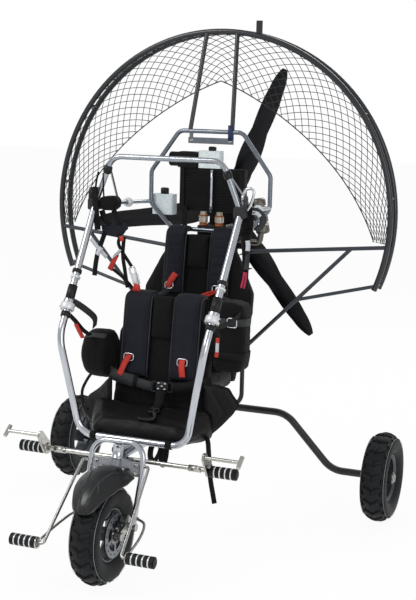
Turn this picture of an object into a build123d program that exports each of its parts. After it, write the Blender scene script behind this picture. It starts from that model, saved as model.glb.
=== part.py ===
from build123d import *
import os
from math import acos, cos, degrees, radians, sin, tan

# Two-seat paramotor trike, standing on its three wheels.
# Millimetres, +Z up. The nose faces -Y, and +X is the machine's left side.
# The origin is on the ground, halfway between the front and rear axles.

os.makedirs("parts", exist_ok=True)

# Running gear
WHEELBASE = 1200
TRACK = 1500
TYRE_RADIUS = 195
TYRE_WIDTH = 112
RIM_RADIUS = 101
RIM_WIDTH = 74
HUB_RADIUS = 27
HUB_LENGTH = 96
AXLE_RADIUS = 10
RUNNING_FIT = 0.05
SEAT_GAP = 0.3

# Steering
RAKE = 14
HEAD_BACK = 125
HEAD_HEIGHT = 500
HEAD_TUBE_RADIUS = 19
STEM_RADIUS = 13
FORK_RADIUS = 11
FORK_HALF_WIDTH = 108
FORK_TOP = 20
CROWN_HEIGHT = 56
CROWN_THICKNESS = 8
LINK_REACH = 55

# Main frame tubes
KEEL_RADIUS = 19
KEEL_HEIGHT = 462
KEEL_FRONT = 150
LOOP_RADIUS = 14
HOOP_TUBE_RADIUS = 11
OCTAGON_RADIUS = 9.5
STRUT_RADIUS = 8.5
PEG_BAR_RADIUS = 9
REAR_AXLE_TUBE = 16

# Propeller cage
CAGE_RADIUS = 768
CAGE_TUBE = 12
CAGE_HEIGHT = 1320
CAGE_FRONT = 1070
CAGE_DEPTH = 75
CAGE_END_HEIGHT = 1030

# Propeller
PROP_RADIUS = 665
PROP_BACK = 1180
PROP_ANGLES = (22, 142, 262)
SHAFT_RADIUS = 12


def back(distance):
    """The Y of a place so far behind the front axle"""
    return distance - WHEELBASE / 2


def place(x, behind, height):
    """A point given by its side, its distance behind the front axle and its height"""
    return (x, back(behind), height)


def tube(radius, points, bends=None):
    """A round tube along straight runs joined by arcs"""
    with BuildPart() as piece:
        with BuildLine() as path:
            if bends is None:
                Line(*points)
            else:
                FilletPolyline(*points, radius=bends)
        with BuildSketch(Plane(origin=points[0], z_dir=path.line % 0)):
            Circle(radius)
        sweep(path=path.line)
    return piece.part


def along(start, end, share):
    """The point a given share of the way from one point to another"""
    return tuple(a + (b - a) * share for a, b in zip(start, end))


head = Plane(
    origin=place(0, HEAD_BACK, HEAD_HEIGHT),
    x_dir=(1, 0, 0),
    z_dir=(0, sin(radians(RAKE)), cos(radians(RAKE))),
)


def on_head(x, ahead, up):
    """A point in the raked steering frame: sideways, ahead of the axis and up along it"""
    return tuple(head.from_local_coords(Vector(x, -ahead, up)))


def head_back(height):
    """How far behind the front axle the steering axis is at a height"""
    return HEAD_BACK + (height - HEAD_HEIGHT) * tan(radians(RAKE))


# Steering head: the crown's stem turns in the head tube, between crown plate and fork top
FORK_UNDERSIDE = FORK_TOP - FORK_RADIUS
HEAD_TUBE_TOP = FORK_UNDERSIDE - 3
HEAD_TUBE_LENGTH = 53
HEAD_TUBE_FOOT = HEAD_TUBE_TOP - HEAD_TUBE_LENGTH
CROWN_TOP = HEAD_TUBE_FOOT - 1

# Keel: the spine under both seats, with the head tube and the rear seat's pillar
KEEL_REAR = WHEELBASE + 18
PILLAR_BACK = 700
PILLAR_TOP = 620
NECK_THICKNESS = 16
NECK_TOP = HEAD_HEIGHT + HEAD_TUBE_TOP - 12
NECK_REAR = KEEL_FRONT + 70
with BuildPart() as keel:
    add(tube(KEEL_RADIUS, [place(0, KEEL_FRONT, KEEL_HEIGHT), place(0, KEEL_REAR, KEEL_HEIGHT)]))
    with BuildSketch(Plane.YZ.offset(-NECK_THICKNESS / 2)):
        with BuildLine():
            Polyline(
                (back(HEAD_BACK + 2), NECK_TOP),
                (back(HEAD_BACK + 26), NECK_TOP),
                (back(NECK_REAR), KEEL_HEIGHT + KEEL_RADIUS + 4),
                (back(NECK_REAR), KEEL_HEIGHT),
                (back(KEEL_FRONT), KEEL_HEIGHT),
                (back(head_back(KEEL_HEIGHT + 16)), KEEL_HEIGHT + 16),
                close=True,
            )
        make_face()
    extrude(amount=NECK_THICKNESS)
    with BuildSketch(head.offset(HEAD_TUBE_FOOT)):
        Circle(HEAD_TUBE_RADIUS)
    extrude(amount=HEAD_TUBE_LENGTH)
    with BuildSketch(head.offset(HEAD_TUBE_FOOT)):
        Circle(STEM_RADIUS + RUNNING_FIT)
    extrude(amount=HEAD_TUBE_LENGTH, mode=Mode.SUBTRACT)
    with BuildSketch(Plane.XY.offset(KEEL_HEIGHT)):
        with Locations(place(0, PILLAR_BACK, 0)[:2]):
            Circle(KEEL_RADIUS - 4)
    extrude(amount=PILLAR_TOP - KEEL_HEIGHT)
keel.part.label = "keel"
export_step(keel.part, "parts/keel.step")

# Front loop: the bent tube in front of the front seat, resting on the keel
LOOP_HEIGHT = KEEL_HEIGHT + KEEL_RADIUS + SEAT_GAP + LOOP_RADIUS
LOOP_BACK = 244
loop_foot = place(226, LOOP_BACK, LOOP_HEIGHT)
loop_side = place(305, 211, 878)
hang_point = place(316, 525, 1375)
COLLAR_SHARE = 0.235
collar_centre = along(loop_side, hang_point, COLLAR_SHARE)
LOOP_FOOT_BEND = 78
LOOP_SIDE_BEND = 150


def opposite(point):
    """The same point on the other side"""
    return (-point[0], point[1], point[2])


with BuildPart() as front_loop:
    add(tube(
        LOOP_RADIUS,
        [collar_centre, loop_side, loop_foot, opposite(loop_foot), opposite(loop_side), opposite(collar_centre)],
        [LOOP_SIDE_BEND, LOOP_FOOT_BEND, LOOP_FOOT_BEND, LOOP_SIDE_BEND],
    ))
front_loop.part.label = "front_loop"
export_step(front_loop.part, "parts/front_loop.step")

# Loop uppers: the loop's folding upper tubes, up to the hang joints
KNUCKLE_SIZE = 46
UPPER_LENGTH_GAP = 0.001
upper_start = along(loop_side, hang_point, COLLAR_SHARE + UPPER_LENGTH_GAP)
with BuildPart() as loop_uppers:
    add(tube(LOOP_RADIUS, [upper_start, hang_point]))
    with Locations(hang_point):
        Box(*[KNUCKLE_SIZE + 2 * SEAT_GAP] * 3, mode=Mode.SUBTRACT)
    mirror(about=Plane.YZ)
loop_uppers.part.label = "loop_uppers"
export_step(loop_uppers.part, "parts/loop_uppers.step")

# Loop collars: the clamp collars that join the two lengths of the loop
COLLAR_RADIUS = 22
COLLAR_LENGTH = 46
upper_direction = Vector(*hang_point) - Vector(*loop_side)
with BuildPart() as loop_collars:
    with BuildSketch(Plane(origin=collar_centre, z_dir=upper_direction)):
        Circle(COLLAR_RADIUS)
        Circle(LOOP_RADIUS + SEAT_GAP, mode=Mode.SUBTRACT)
    extrude(amount=COLLAR_LENGTH / 2, both=True)
    chamfer(loop_collars.edges().filter_by(GeomType.CIRCLE).group_by(SortBy.RADIUS)[-1], 3)
    mirror(about=Plane.YZ)
loop_collars.part.label = "loop_collars"
export_step(loop_collars.part, "parts/loop_collars.step")

# Hang lugs: the knuckle where loop, top hoop and hang bar meet, with the wing's eye
EYE_RADIUS = 7
EYE_PLATE = 8
EYE_HEIGHT = 50
EYE_OUTER = 17
with BuildPart() as hang_lugs:
    with Locations(hang_point):
        Box(KNUCKLE_SIZE, KNUCKLE_SIZE, KNUCKLE_SIZE)
    fillet(hang_lugs.edges().filter_by(Axis.Y), 8)
    lug_inner = hang_point[0] + KNUCKLE_SIZE / 2 - EYE_PLATE
    with BuildSketch(Plane.YZ.offset(lug_inner)):
        with Locations((hang_point[1], hang_point[2] + EYE_HEIGHT)):
            Circle(EYE_OUTER)
        with Locations((hang_point[1], hang_point[2] + EYE_HEIGHT / 2)):
            Rectangle(2 * EYE_OUTER, EYE_HEIGHT)
        with Locations((hang_point[1], hang_point[2] + EYE_HEIGHT)):
            Circle(EYE_RADIUS, mode=Mode.SUBTRACT)
    extrude(amount=EYE_PLATE)
    mirror(about=Plane.YZ)
hang_lugs.part.label = "hang_lugs"
export_step(hang_lugs.part, "parts/hang_lugs.step")

# Top hoop: the bent tube over the front seat, from knuckle to knuckle
hoop_corner = place(238, 520, 1570)
HOOP_BEND = 60
hoop_points = [hang_point, hoop_corner, opposite(hoop_corner), opposite(hang_point)]
with BuildPart() as top_hoop:
    add(tube(HOOP_TUBE_RADIUS, hoop_points, [HOOP_BEND, HOOP_BEND]))
    with Locations(hang_point, opposite(hang_point)):
        Box(*[KNUCKLE_SIZE + 2 * SEAT_GAP] * 3, mode=Mode.SUBTRACT)
top_hoop.part.label = "top_hoop"
export_step(top_hoop.part, "parts/top_hoop.step")
hoop_clearance = tube(HOOP_TUBE_RADIUS + SEAT_GAP, hoop_points, [HOOP_BEND, HOOP_BEND])

# Octagon hoop: the closed hoop round the radiator, at the front of the engine frame
OCTAGON_BACK = 970
OCTAGON_FOOT = 1247
octagon_right = [place(x, OCTAGON_BACK, z) for x, z in ((172, OCTAGON_FOOT), (274, 1350), (274, 1490), (144, 1667))]
octagon_points = octagon_right + [opposite(point) for point in reversed(octagon_right)]
OCTAGON_BEND = 42


def octagon_tube(radius):
    """The octagon hoop's tube, closed on itself, at a given radius"""
    with BuildPart() as piece:
        with BuildLine() as path:
            FilletPolyline(*octagon_points, radius=OCTAGON_BEND, close=True)
        with BuildSketch(Plane(origin=path.line @ 0, z_dir=path.line % 0)):
            Circle(radius)
        sweep(path=path.line)
    return piece.part


CROSS_PLATE = (206, 5, 26)
CROSS_PLATE_HEIGHT = 1628
PLATE_TAB = (16, 5, 36)
STRUT_SIDE = 96
with BuildPart() as octagon_hoop:
    add(octagon_tube(OCTAGON_RADIUS))
    with Locations(place(0, OCTAGON_BACK, CROSS_PLATE_HEIGHT)):
        Box(*CROSS_PLATE)
    with Locations(*[place(side * (STRUT_SIDE - 6), OCTAGON_BACK, CROSS_PLATE_HEIGHT + CROSS_PLATE[2] / 2)
                     for side in (-1, 1)]):
        Box(*PLATE_TAB)
octagon_hoop.part.label = "octagon_hoop"
export_step(octagon_hoop.part, "parts/octagon_hoop.step")
octagon_clearance = octagon_tube(OCTAGON_RADIUS + SEAT_GAP)

# Hang bars: from the knuckles back to the octagon's sides
HANG_BAR_END = place(274, OCTAGON_BACK, 1358)
BRACE_RADIUS = 5
BRACE_TOP_SHARE = 0.82
BRACE_FOOT_SHARE = 0.4
with BuildPart() as hang_bars:
    add(tube(STRUT_RADIUS, [hang_point, HANG_BAR_END]))
    add(tube(BRACE_RADIUS, [
        along(hang_point, hoop_corner, BRACE_TOP_SHARE), along(hang_point, HANG_BAR_END, BRACE_FOOT_SHARE),
    ]))
    with Locations(hang_point):
        Box(*[KNUCKLE_SIZE + 2 * SEAT_GAP] * 3, mode=Mode.SUBTRACT)
    add(octagon_clearance, mode=Mode.SUBTRACT)
    add(hoop_clearance, mode=Mode.SUBTRACT)
    mirror(about=Plane.YZ)
hang_bars.part.label = "hang_bars"
export_step(hang_bars.part, "parts/hang_bars.step")

# Engine posts: a deep U that stands on the keel and carries octagon and engine
POST_SIDE = 172
POST_FOOT = KEEL_HEIGHT + KEEL_RADIUS + SEAT_GAP + OCTAGON_RADIUS
POST_BEND = 60
ENGINE_HALF_WIDTH = 120
ENGINE_FRONT = 992
MOUNT_LUG = 26
MOUNT_REACH = 60
MOUNT_HEIGHTS = (1010, 1190)
post_top = place(POST_SIDE, OCTAGON_BACK, OCTAGON_FOOT)
post_foot = place(POST_SIDE, OCTAGON_BACK, POST_FOOT)
with BuildPart() as engine_posts:
    add(tube(
        OCTAGON_RADIUS,
        [post_top, post_foot, opposite(post_foot), opposite(post_top)],
        [POST_BEND, POST_BEND],
    ))
    with Locations(*[place(side * (POST_SIDE + ENGINE_HALF_WIDTH) / 2, OCTAGON_BACK + 26, z)
                     for side in (-1, 1) for z in MOUNT_HEIGHTS]):
        Box(POST_SIDE - ENGINE_HALF_WIDTH, MOUNT_REACH, MOUNT_LUG)
    with Locations(place(0, ENGINE_FRONT + 100, 1100)):
        Box(2 * (ENGINE_HALF_WIDTH + SEAT_GAP), 200, 400, mode=Mode.SUBTRACT)
    add(octagon_clearance, mode=Mode.SUBTRACT)
engine_posts.part.label = "engine_posts"
export_step(engine_posts.part, "parts/engine_posts.step")


# Cage hoop: two horseshoe hoops one behind the other
CAGE_ARC = degrees(acos((CAGE_END_HEIGHT - CAGE_HEIGHT) / CAGE_RADIUS))
SPACER_RADIUS = 6
SPACER_ANGLES = [share * (CAGE_ARC - 1.5) for share in (-1, -0.75, -0.5, -0.25, 0, 0.25, 0.5, 0.75, 1)]


def cage_ring(behind, radius):
    """One horseshoe hoop of the cage"""
    ring_plane = Plane(origin=place(0, behind, CAGE_HEIGHT), x_dir=(1, 0, 0), z_dir=(0, -1, 0))
    with BuildPart() as piece:
        with BuildLine(ring_plane) as path:
            CenterArc((0, 0), CAGE_RADIUS, 90 - CAGE_ARC, 2 * CAGE_ARC)
        with BuildSketch(Plane(origin=path.line @ 0, z_dir=path.line % 0)):
            Circle(radius)
        sweep(path=path.line)
    return piece.part


def on_cage(angle, behind):
    """A point on the cage's circle, by its angle from the top"""
    across = CAGE_RADIUS * sin(radians(angle))
    return place(across, behind, CAGE_HEIGHT + CAGE_RADIUS * cos(radians(angle)))


with BuildPart() as cage_hoop:
    add(cage_ring(CAGE_FRONT, CAGE_TUBE))
    add(cage_ring(CAGE_FRONT + CAGE_DEPTH, CAGE_TUBE))
cage_hoop.part.label = "cage_hoop"
export_step(cage_hoop.part, "parts/cage_hoop.step")
cage_clearance = cage_ring(CAGE_FRONT, CAGE_TUBE + SEAT_GAP)

# Cage spacers: short pegs that hold the cage's two hoops apart, and the line's lug near the top
LINE_LUG = (26, 8, 64)
LINE_LUG_ANGLE = 12.6
with BuildPart() as cage_spacers:
    lug_foot = on_cage(LINE_LUG_ANGLE, CAGE_FRONT)
    with Locations((lug_foot[0], lug_foot[1], lug_foot[2] + LINE_LUG[2] / 2)):
        Box(*LINE_LUG)
    for angle in SPACER_ANGLES:
        add(tube(SPACER_RADIUS, [on_cage(angle, CAGE_FRONT), on_cage(angle, CAGE_FRONT + CAGE_DEPTH)]))
    add(cage_clearance, mode=Mode.SUBTRACT)
    add(cage_ring(CAGE_FRONT + CAGE_DEPTH, CAGE_TUBE + SEAT_GAP), mode=Mode.SUBTRACT)
cage_spacers.part.label = "cage_spacers"
export_step(cage_spacers.part, "parts/cage_spacers.step")

# Cage struts: from the octagon's top bar up to the cage hoop
with BuildPart() as cage_struts:
    add(tube(OCTAGON_RADIUS, [place(STRUT_SIDE, OCTAGON_BACK, 1667), on_cage(5.2, CAGE_FRONT)]))
    add(octagon_clearance, mode=Mode.SUBTRACT)
    add(cage_clearance, mode=Mode.SUBTRACT)
    mirror(about=Plane.YZ)
cage_struts.part.label = "cage_struts"
export_step(cage_struts.part, "parts/cage_struts.step")

# Radial bars: from the cage's sides in to the engine posts
RADIAL_ANGLE = 98
RADIAL_FOOT_HEIGHT = 1168
radial_outer = on_cage(RADIAL_ANGLE, CAGE_FRONT)
radial_inner = place(POST_SIDE, OCTAGON_BACK, RADIAL_FOOT_HEIGHT)
post_clearance = tube(
    OCTAGON_RADIUS + SEAT_GAP,
    [post_top, post_foot, opposite(post_foot), opposite(post_top)],
    [POST_BEND, POST_BEND],
)
with BuildPart() as radial_bars:
    add(tube(STRUT_RADIUS, [radial_inner, radial_outer]))
    add(post_clearance, mode=Mode.SUBTRACT)
    add(cage_clearance, mode=Mode.SUBTRACT)
    mirror(about=Plane.YZ)
radial_bars.part.label = "radial_bars"
export_step(radial_bars.part, "parts/radial_bars.step")

# Diagonal struts: from the radial bars down to the posts, with a branch to the cage's end
DIAGONAL_TOP_SHARE = 0.75
DIAGONAL_FOOT_HEIGHT = 744
BRANCH_SHARE = 0.5
diagonal_top = along(radial_inner, radial_outer, DIAGONAL_TOP_SHARE)
diagonal_foot = place(POST_SIDE, OCTAGON_BACK, DIAGONAL_FOOT_HEIGHT)
with BuildPart() as diagonal_struts:
    add(tube(STRUT_RADIUS, [diagonal_foot, diagonal_top]))
    add(tube(STRUT_RADIUS - 1, [along(diagonal_foot, diagonal_top, BRANCH_SHARE), on_cage(CAGE_ARC - 1.5, CAGE_FRONT)]))
    add(post_clearance, mode=Mode.SUBTRACT)
    add(tube(STRUT_RADIUS + SEAT_GAP, [radial_inner, radial_outer]), mode=Mode.SUBTRACT)
    add(cage_clearance, mode=Mode.SUBTRACT)
    mirror(about=Plane.YZ)
diagonal_struts.part.label = "diagonal_struts"
export_step(diagonal_struts.part, "parts/diagonal_struts.step")

# Rear axle: a bowed beam under the keel's end, with a stub at each end for a wheel
AXLE_MIDDLE = KEEL_HEIGHT - KEEL_RADIUS - SEAT_GAP - REAR_AXLE_TUBE
STUB_SHOULDER = TRACK / 2 - HUB_LENGTH / 2 - 2
STUB_END = TRACK / 2 + HUB_LENGTH / 2 + 8
AXLE_BEND = 120
axle_points = [place(x, WHEELBASE, z) for x, z in ((STUB_SHOULDER, TYRE_RADIUS), (520, TYRE_RADIUS), (300, AXLE_MIDDLE))]
with BuildPart() as rear_axle:
    add(tube(
        REAR_AXLE_TUBE,
        axle_points + [opposite(point) for point in reversed(axle_points)],
        [AXLE_BEND] * 4,
    ))
    add(tube(AXLE_RADIUS, [place(-STUB_END, WHEELBASE, TYRE_RADIUS), place(1 - STUB_SHOULDER, WHEELBASE, TYRE_RADIUS)]))
    add(tube(AXLE_RADIUS, [place(STUB_SHOULDER - 1, WHEELBASE, TYRE_RADIUS), place(STUB_END, WHEELBASE, TYRE_RADIUS)]))
rear_axle.part.label = "rear_axle"
export_step(rear_axle.part, "parts/rear_axle.step")

# Peg crossbar: under the keel, with an upright plate at each end for peg and pedal
PEG_BAR_BACK = 195
PEG_BAR_HEIGHT = KEEL_HEIGHT - KEEL_RADIUS - SEAT_GAP - PEG_BAR_RADIUS
PEG_PLATE_SIDE = 346
PEG_PLATE = 8
PEDAL_BACK = 135
PEDAL_HEIGHT = 499
with BuildPart() as peg_crossbar:
    add(tube(PEG_BAR_RADIUS, [
        place(-PEG_PLATE_SIDE, PEG_BAR_BACK, PEG_BAR_HEIGHT),
        place(PEG_PLATE_SIDE, PEG_BAR_BACK, PEG_BAR_HEIGHT),
    ]))
    with BuildSketch(Plane.YZ.offset(PEG_PLATE_SIDE - PEG_PLATE / 2)):
        with BuildLine():
            Polyline(
                (back(PEG_BAR_BACK + 18), PEG_BAR_HEIGHT - 18),
                (back(PEG_BAR_BACK - 24), PEG_BAR_HEIGHT - 18),
                (back(PEDAL_BACK - 14), PEDAL_HEIGHT - 8),
                (back(PEDAL_BACK - 8), PEDAL_HEIGHT + 14),
                (back(PEDAL_BACK + 16), PEDAL_HEIGHT + 14),
                (back(PEG_BAR_BACK + 18), PEG_BAR_HEIGHT + 18),
                close=True,
            )
        make_face()
        fillet(vertices(), 6)
    extrude(amount=PEG_PLATE)
    mirror(about=Plane.YZ)
peg_crossbar.part.label = "peg_crossbar"
export_step(peg_crossbar.part, "parts/peg_crossbar.step")


def ringed_peg(start, side_length, radius, rings):
    """A foot peg lying along X: rubber rings on a core, one inner collar"""
    ring_step = side_length / rings
    with BuildPart() as piece:
        with BuildSketch(Plane(origin=start, x_dir=(0, 1, 0), z_dir=(1, 0, 0))):
            Circle(radius - 5)
        extrude(amount=side_length)
        for number in range(rings):
            ring_start = (start[0] + (number + 0.18) * ring_step, start[1], start[2])
            with BuildSketch(Plane(origin=ring_start, x_dir=(0, 1, 0), z_dir=(1, 0, 0))):
                Circle(radius)
            extrude(amount=ring_step * 0.7)
    return piece.part


# Upper pegs: ringed rests for the pilot's feet, outside the crossbar's plates
PEG_RADIUS = 22
PEG_LENGTH = 110
PEG_RINGS = 5
UPPER_PEG_BACK = 188
with BuildPart() as upper_pegs:
    peg_start = place(PEG_PLATE_SIDE + PEG_PLATE / 2 + SEAT_GAP, UPPER_PEG_BACK, PEG_BAR_HEIGHT)
    add(ringed_peg(peg_start, PEG_LENGTH, PEG_RADIUS, PEG_RINGS))
    mirror(about=Plane.YZ)
upper_pegs.part.label = "upper_pegs"
export_step(upper_pegs.part, "parts/upper_pegs.step")

# Pedal levers: one above each upper peg, with a cross bar at its outer end
LEVER_RADIUS = 7
LEVER_REACH = 140
PEDAL_CROSS = 52
with BuildPart() as pedal_levers:
    lever_start = (PEG_PLATE_SIDE + PEG_PLATE / 2 + SEAT_GAP, back(PEDAL_BACK), PEDAL_HEIGHT)
    lever_end = (lever_start[0] + LEVER_REACH, back(PEDAL_BACK), PEDAL_HEIGHT)
    add(tube(LEVER_RADIUS, [lever_start, lever_end]))
    with BuildSketch(Plane(origin=lever_end, z_dir=(0, 0.8, 0.6))):
        Circle(LEVER_RADIUS + 1.5)
    extrude(amount=PEDAL_CROSS / 2, both=True)
    mirror(about=Plane.YZ)
pedal_levers.part.label = "pedal_levers"
export_step(pedal_levers.part, "parts/pedal_levers.step")

# Engine: the open engine on its mounting plate, with starter cover, drive case and shaft
ENGINE_LENGTH = 125
ENGINE_TOP = 1262
PLATE_FRONT = ENGINE_FRONT + 8
PLATE_THICKNESS = 12
PLATE_HEIGHT = 232
PLATE_MIDDLE = 1100
PLATE_SLOT = (34, 124)
CRANKCASE_HALF_WIDTH = 78
CRANKCASE_BOTTOM = 985
CRANKCASE_TOP = 1112
CYLINDER_RADIUS = 50
CYLINDER_BACK = ENGINE_FRONT + 66
HEAD_HALF_WIDTH = 68
HEAD_DEPTH = 114
HEAD_BOTTOM = 1204
STARTER_RADIUS = 58
STARTER_HEIGHT = 1046
EXHAUST_BACK = ENGINE_FRONT + 52
EXHAUST_HEIGHT = 1200
EXHAUST_STUB_RADIUS = 19
CARBURETTOR_HEIGHT = 1150
CARBURETTOR_RADIUS = 21
CARBURETTOR_END = 102
FILTER_RADIUS = 30
FILTER_END = 158
CASE_THICKNESS = 22
CASE_HALF_WIDTH = 58
CASE_BOTTOM = 1025
PULLEY_COVER_RADIUS = 42
PULLEY_COVER = 8
engine_rear = ENGINE_FRONT + ENGINE_LENGTH


def facing_back(behind):
    """An upright plane across the machine, with its Z axis pointing back and its Y axis up"""
    return Plane(origin=place(0, behind, 0), x_dir=(-1, 0, 0), z_dir=(0, 1, 0))


with BuildPart() as engine:
    with BuildSketch(facing_back(PLATE_FRONT)):
        with Locations((0, PLATE_MIDDLE)):
            RectangleRounded(2 * ENGINE_HALF_WIDTH, PLATE_HEIGHT, 14)
        with Locations((-CRANKCASE_HALF_WIDTH - 19, PLATE_MIDDLE), (CRANKCASE_HALF_WIDTH + 19, PLATE_MIDDLE)):
            RectangleRounded(*PLATE_SLOT, 12, mode=Mode.SUBTRACT)
    extrude(amount=PLATE_THICKNESS)
    with BuildSketch(facing_back(ENGINE_FRONT)):
        with Locations((0, STARTER_HEIGHT)):
            Circle(STARTER_RADIUS)
    extrude(amount=PLATE_FRONT - ENGINE_FRONT)
    with BuildSketch(facing_back(PLATE_FRONT + PLATE_THICKNESS)):
        with Locations((0, (CRANKCASE_BOTTOM + CRANKCASE_TOP) / 2)):
            RectangleRounded(2 * CRANKCASE_HALF_WIDTH, CRANKCASE_TOP - CRANKCASE_BOTTOM, 26)
    extrude(amount=engine_rear - PLATE_FRONT - PLATE_THICKNESS)
    with BuildSketch(Plane.XY.offset(CRANKCASE_TOP - 4)):
        with Locations(place(0, CYLINDER_BACK, 0)[:2]):
            Circle(CYLINDER_RADIUS)
    extrude(amount=HEAD_BOTTOM - CRANKCASE_TOP + 8)
    with BuildSketch(Plane.XY.offset(HEAD_BOTTOM)):
        with Locations(place(0, ENGINE_FRONT + 2 + HEAD_DEPTH / 2, 0)[:2]):
            RectangleRounded(2 * HEAD_HALF_WIDTH, HEAD_DEPTH, 14)
    extrude(amount=ENGINE_TOP - HEAD_BOTTOM)
    with BuildSketch(Plane(origin=place(0, EXHAUST_BACK, EXHAUST_HEIGHT), z_dir=(1, 0, 0))):
        Circle(EXHAUST_STUB_RADIUS)
    extrude(amount=ENGINE_HALF_WIDTH)
    with BuildSketch(Plane(origin=place(0, CYLINDER_BACK, CARBURETTOR_HEIGHT), z_dir=(-1, 0, 0))):
        Circle(CARBURETTOR_RADIUS)
    extrude(amount=CARBURETTOR_END)
    with BuildSketch(Plane(origin=place(1 - CARBURETTOR_END, CYLINDER_BACK, CARBURETTOR_HEIGHT), z_dir=(-1, 0, 0))):
        Circle(FILTER_RADIUS)
    extrude(amount=FILTER_END - CARBURETTOR_END)
    with BuildSketch(facing_back(engine_rear)):
        with BuildLine():
            Polyline(
                (-CASE_HALF_WIDTH, CASE_BOTTOM),
                (CASE_HALF_WIDTH, CASE_BOTTOM),
                (CASE_HALF_WIDTH, CAGE_HEIGHT),
                (CASE_HALF_WIDTH - 24, CAGE_HEIGHT + 44),
                (24 - CASE_HALF_WIDTH, CAGE_HEIGHT + 44),
                (-CASE_HALF_WIDTH, CAGE_HEIGHT),
                close=True,
            )
        make_face()
        fillet(vertices(), 16)
    extrude(amount=CASE_THICKNESS)
    with BuildSketch(facing_back(engine_rear + CASE_THICKNESS)):
        with Locations((0, CAGE_HEIGHT)):
            Circle(PULLEY_COVER_RADIUS)
    extrude(amount=PULLEY_COVER)
    with BuildSketch(facing_back(engine_rear + 1)):
        with Locations((0, CAGE_HEIGHT)):
            Circle(SHAFT_RADIUS)
    extrude(amount=PROP_BACK + 24 - engine_rear)
engine.part.label = "engine"
export_step(engine.part, "parts/engine.step")

# Radiator: a finned core between two side tanks, on two legs behind the octagon's bar, with the airbox
RADIATOR_HALF_WIDTH = 150
RADIATOR_BOTTOM = 1325
RADIATOR_TOP = 1510
RADIATOR_THICKNESS = 46
RADIATOR_LEG = 22
LEG_THICKNESS = 6
leg_front = OCTAGON_BACK + OCTAGON_RADIUS + SEAT_GAP
RADIATOR_FRONT = leg_front + LEG_THICKNESS
SIDE_TANK = 24
FIN_PITCH = 12
AIRBOX = (86, 52, 68)
AIRBOX_SIDE = 113
SNORKEL_LENGTH = 44
radiator_middle = RADIATOR_FRONT + RADIATOR_THICKNESS / 2
fin_count = int((RADIATOR_TOP - RADIATOR_BOTTOM - 20) / FIN_PITCH)
with BuildPart() as radiator:
    with Locations(place(0, radiator_middle, (RADIATOR_TOP + RADIATOR_BOTTOM) / 2)):
        Box(2 * (RADIATOR_HALF_WIDTH - SIDE_TANK), RADIATOR_THICKNESS - 12, RADIATOR_TOP - RADIATOR_BOTTOM)
        with GridLocations(2 * RADIATOR_HALF_WIDTH - SIDE_TANK, 1, 2, 1):
            Box(SIDE_TANK, RADIATOR_THICKNESS, RADIATOR_TOP - RADIATOR_BOTTOM)
    fillet(radiator.edges().filter_by(Axis.Z).group_by(Axis.X)[-1], 10)
    fillet(radiator.edges().filter_by(Axis.Z).group_by(Axis.X)[0], 10)
    with Locations(*[place(0, radiator_middle, RADIATOR_BOTTOM + 12 + number * FIN_PITCH)
                     for number in range(fin_count + 1)]):
        Box(2 * (RADIATOR_HALF_WIDTH - SIDE_TANK), RADIATOR_THICKNESS - 4, 3)
    leg_foot = OCTAGON_FOOT - OCTAGON_RADIUS
    with Locations(*[place(side * 118, leg_front + LEG_THICKNESS / 2, (leg_foot + RADIATOR_BOTTOM + 20) / 2)
                     for side in (-1, 1)]):
        Box(RADIATOR_LEG, LEG_THICKNESS, RADIATOR_BOTTOM + 20 - leg_foot)
    with Locations(place(-AIRBOX_SIDE, radiator_middle, RADIATOR_TOP + AIRBOX[2] / 2)):
        airbox = Box(*AIRBOX)
    fillet(airbox.edges().group_by(Axis.Z)[-1], 8)
    snorkel_start = place(-AIRBOX_SIDE - AIRBOX[0] / 2 + 1, radiator_middle, RADIATOR_TOP + AIRBOX[2] / 2)
    with BuildSketch(Plane(origin=snorkel_start, z_dir=(-1, 0, 0))):
        Circle(AIRBOX[2] / 2 - 3)
    extrude(amount=SNORKEL_LENGTH)
radiator.part.label = "radiator"
export_step(radiator.part, "parts/radiator.step")

# Coolant tanks: the header tank on the radiator and the capped bottle behind the octagon's side
HEADER_WIDTH = 106
HEADER_HEIGHT = 74
HEADER_SIDE = -14
BOTTLE_WIDTH = 100
BOTTLE_DEPTH = 56
BOTTLE_HEIGHT = 88
BOTTLE_SIDE = 226
BOTTLE_BOTTOM = 1302
BOTTLE_NECK_RADIUS = 15
BOTTLE_NECK = 20
with BuildPart() as coolant_tanks:
    with BuildSketch(Plane.XY.offset(RADIATOR_TOP + SEAT_GAP)):
        with Locations(place(HEADER_SIDE, radiator_middle + 2, 0)[:2]):
            RectangleRounded(HEADER_WIDTH, RADIATOR_THICKNESS, 12)
    extrude(amount=HEADER_HEIGHT)
    with BuildSketch(Plane.XY.offset(BOTTLE_BOTTOM)):
        with Locations(place(-BOTTLE_SIDE, leg_front + BOTTLE_DEPTH / 2, 0)[:2]):
            RectangleRounded(BOTTLE_WIDTH, BOTTLE_DEPTH, 14)
    extrude(amount=BOTTLE_HEIGHT)
    with BuildSketch(Plane.XY.offset(BOTTLE_BOTTOM + BOTTLE_HEIGHT)):
        with Locations(place(-BOTTLE_SIDE, leg_front + BOTTLE_DEPTH / 2, 0)[:2]):
            Circle(BOTTLE_NECK_RADIUS)
    extrude(amount=BOTTLE_NECK)
coolant_tanks.part.label = "coolant_tanks"
export_step(coolant_tanks.part, "parts/coolant_tanks.step")

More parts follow.
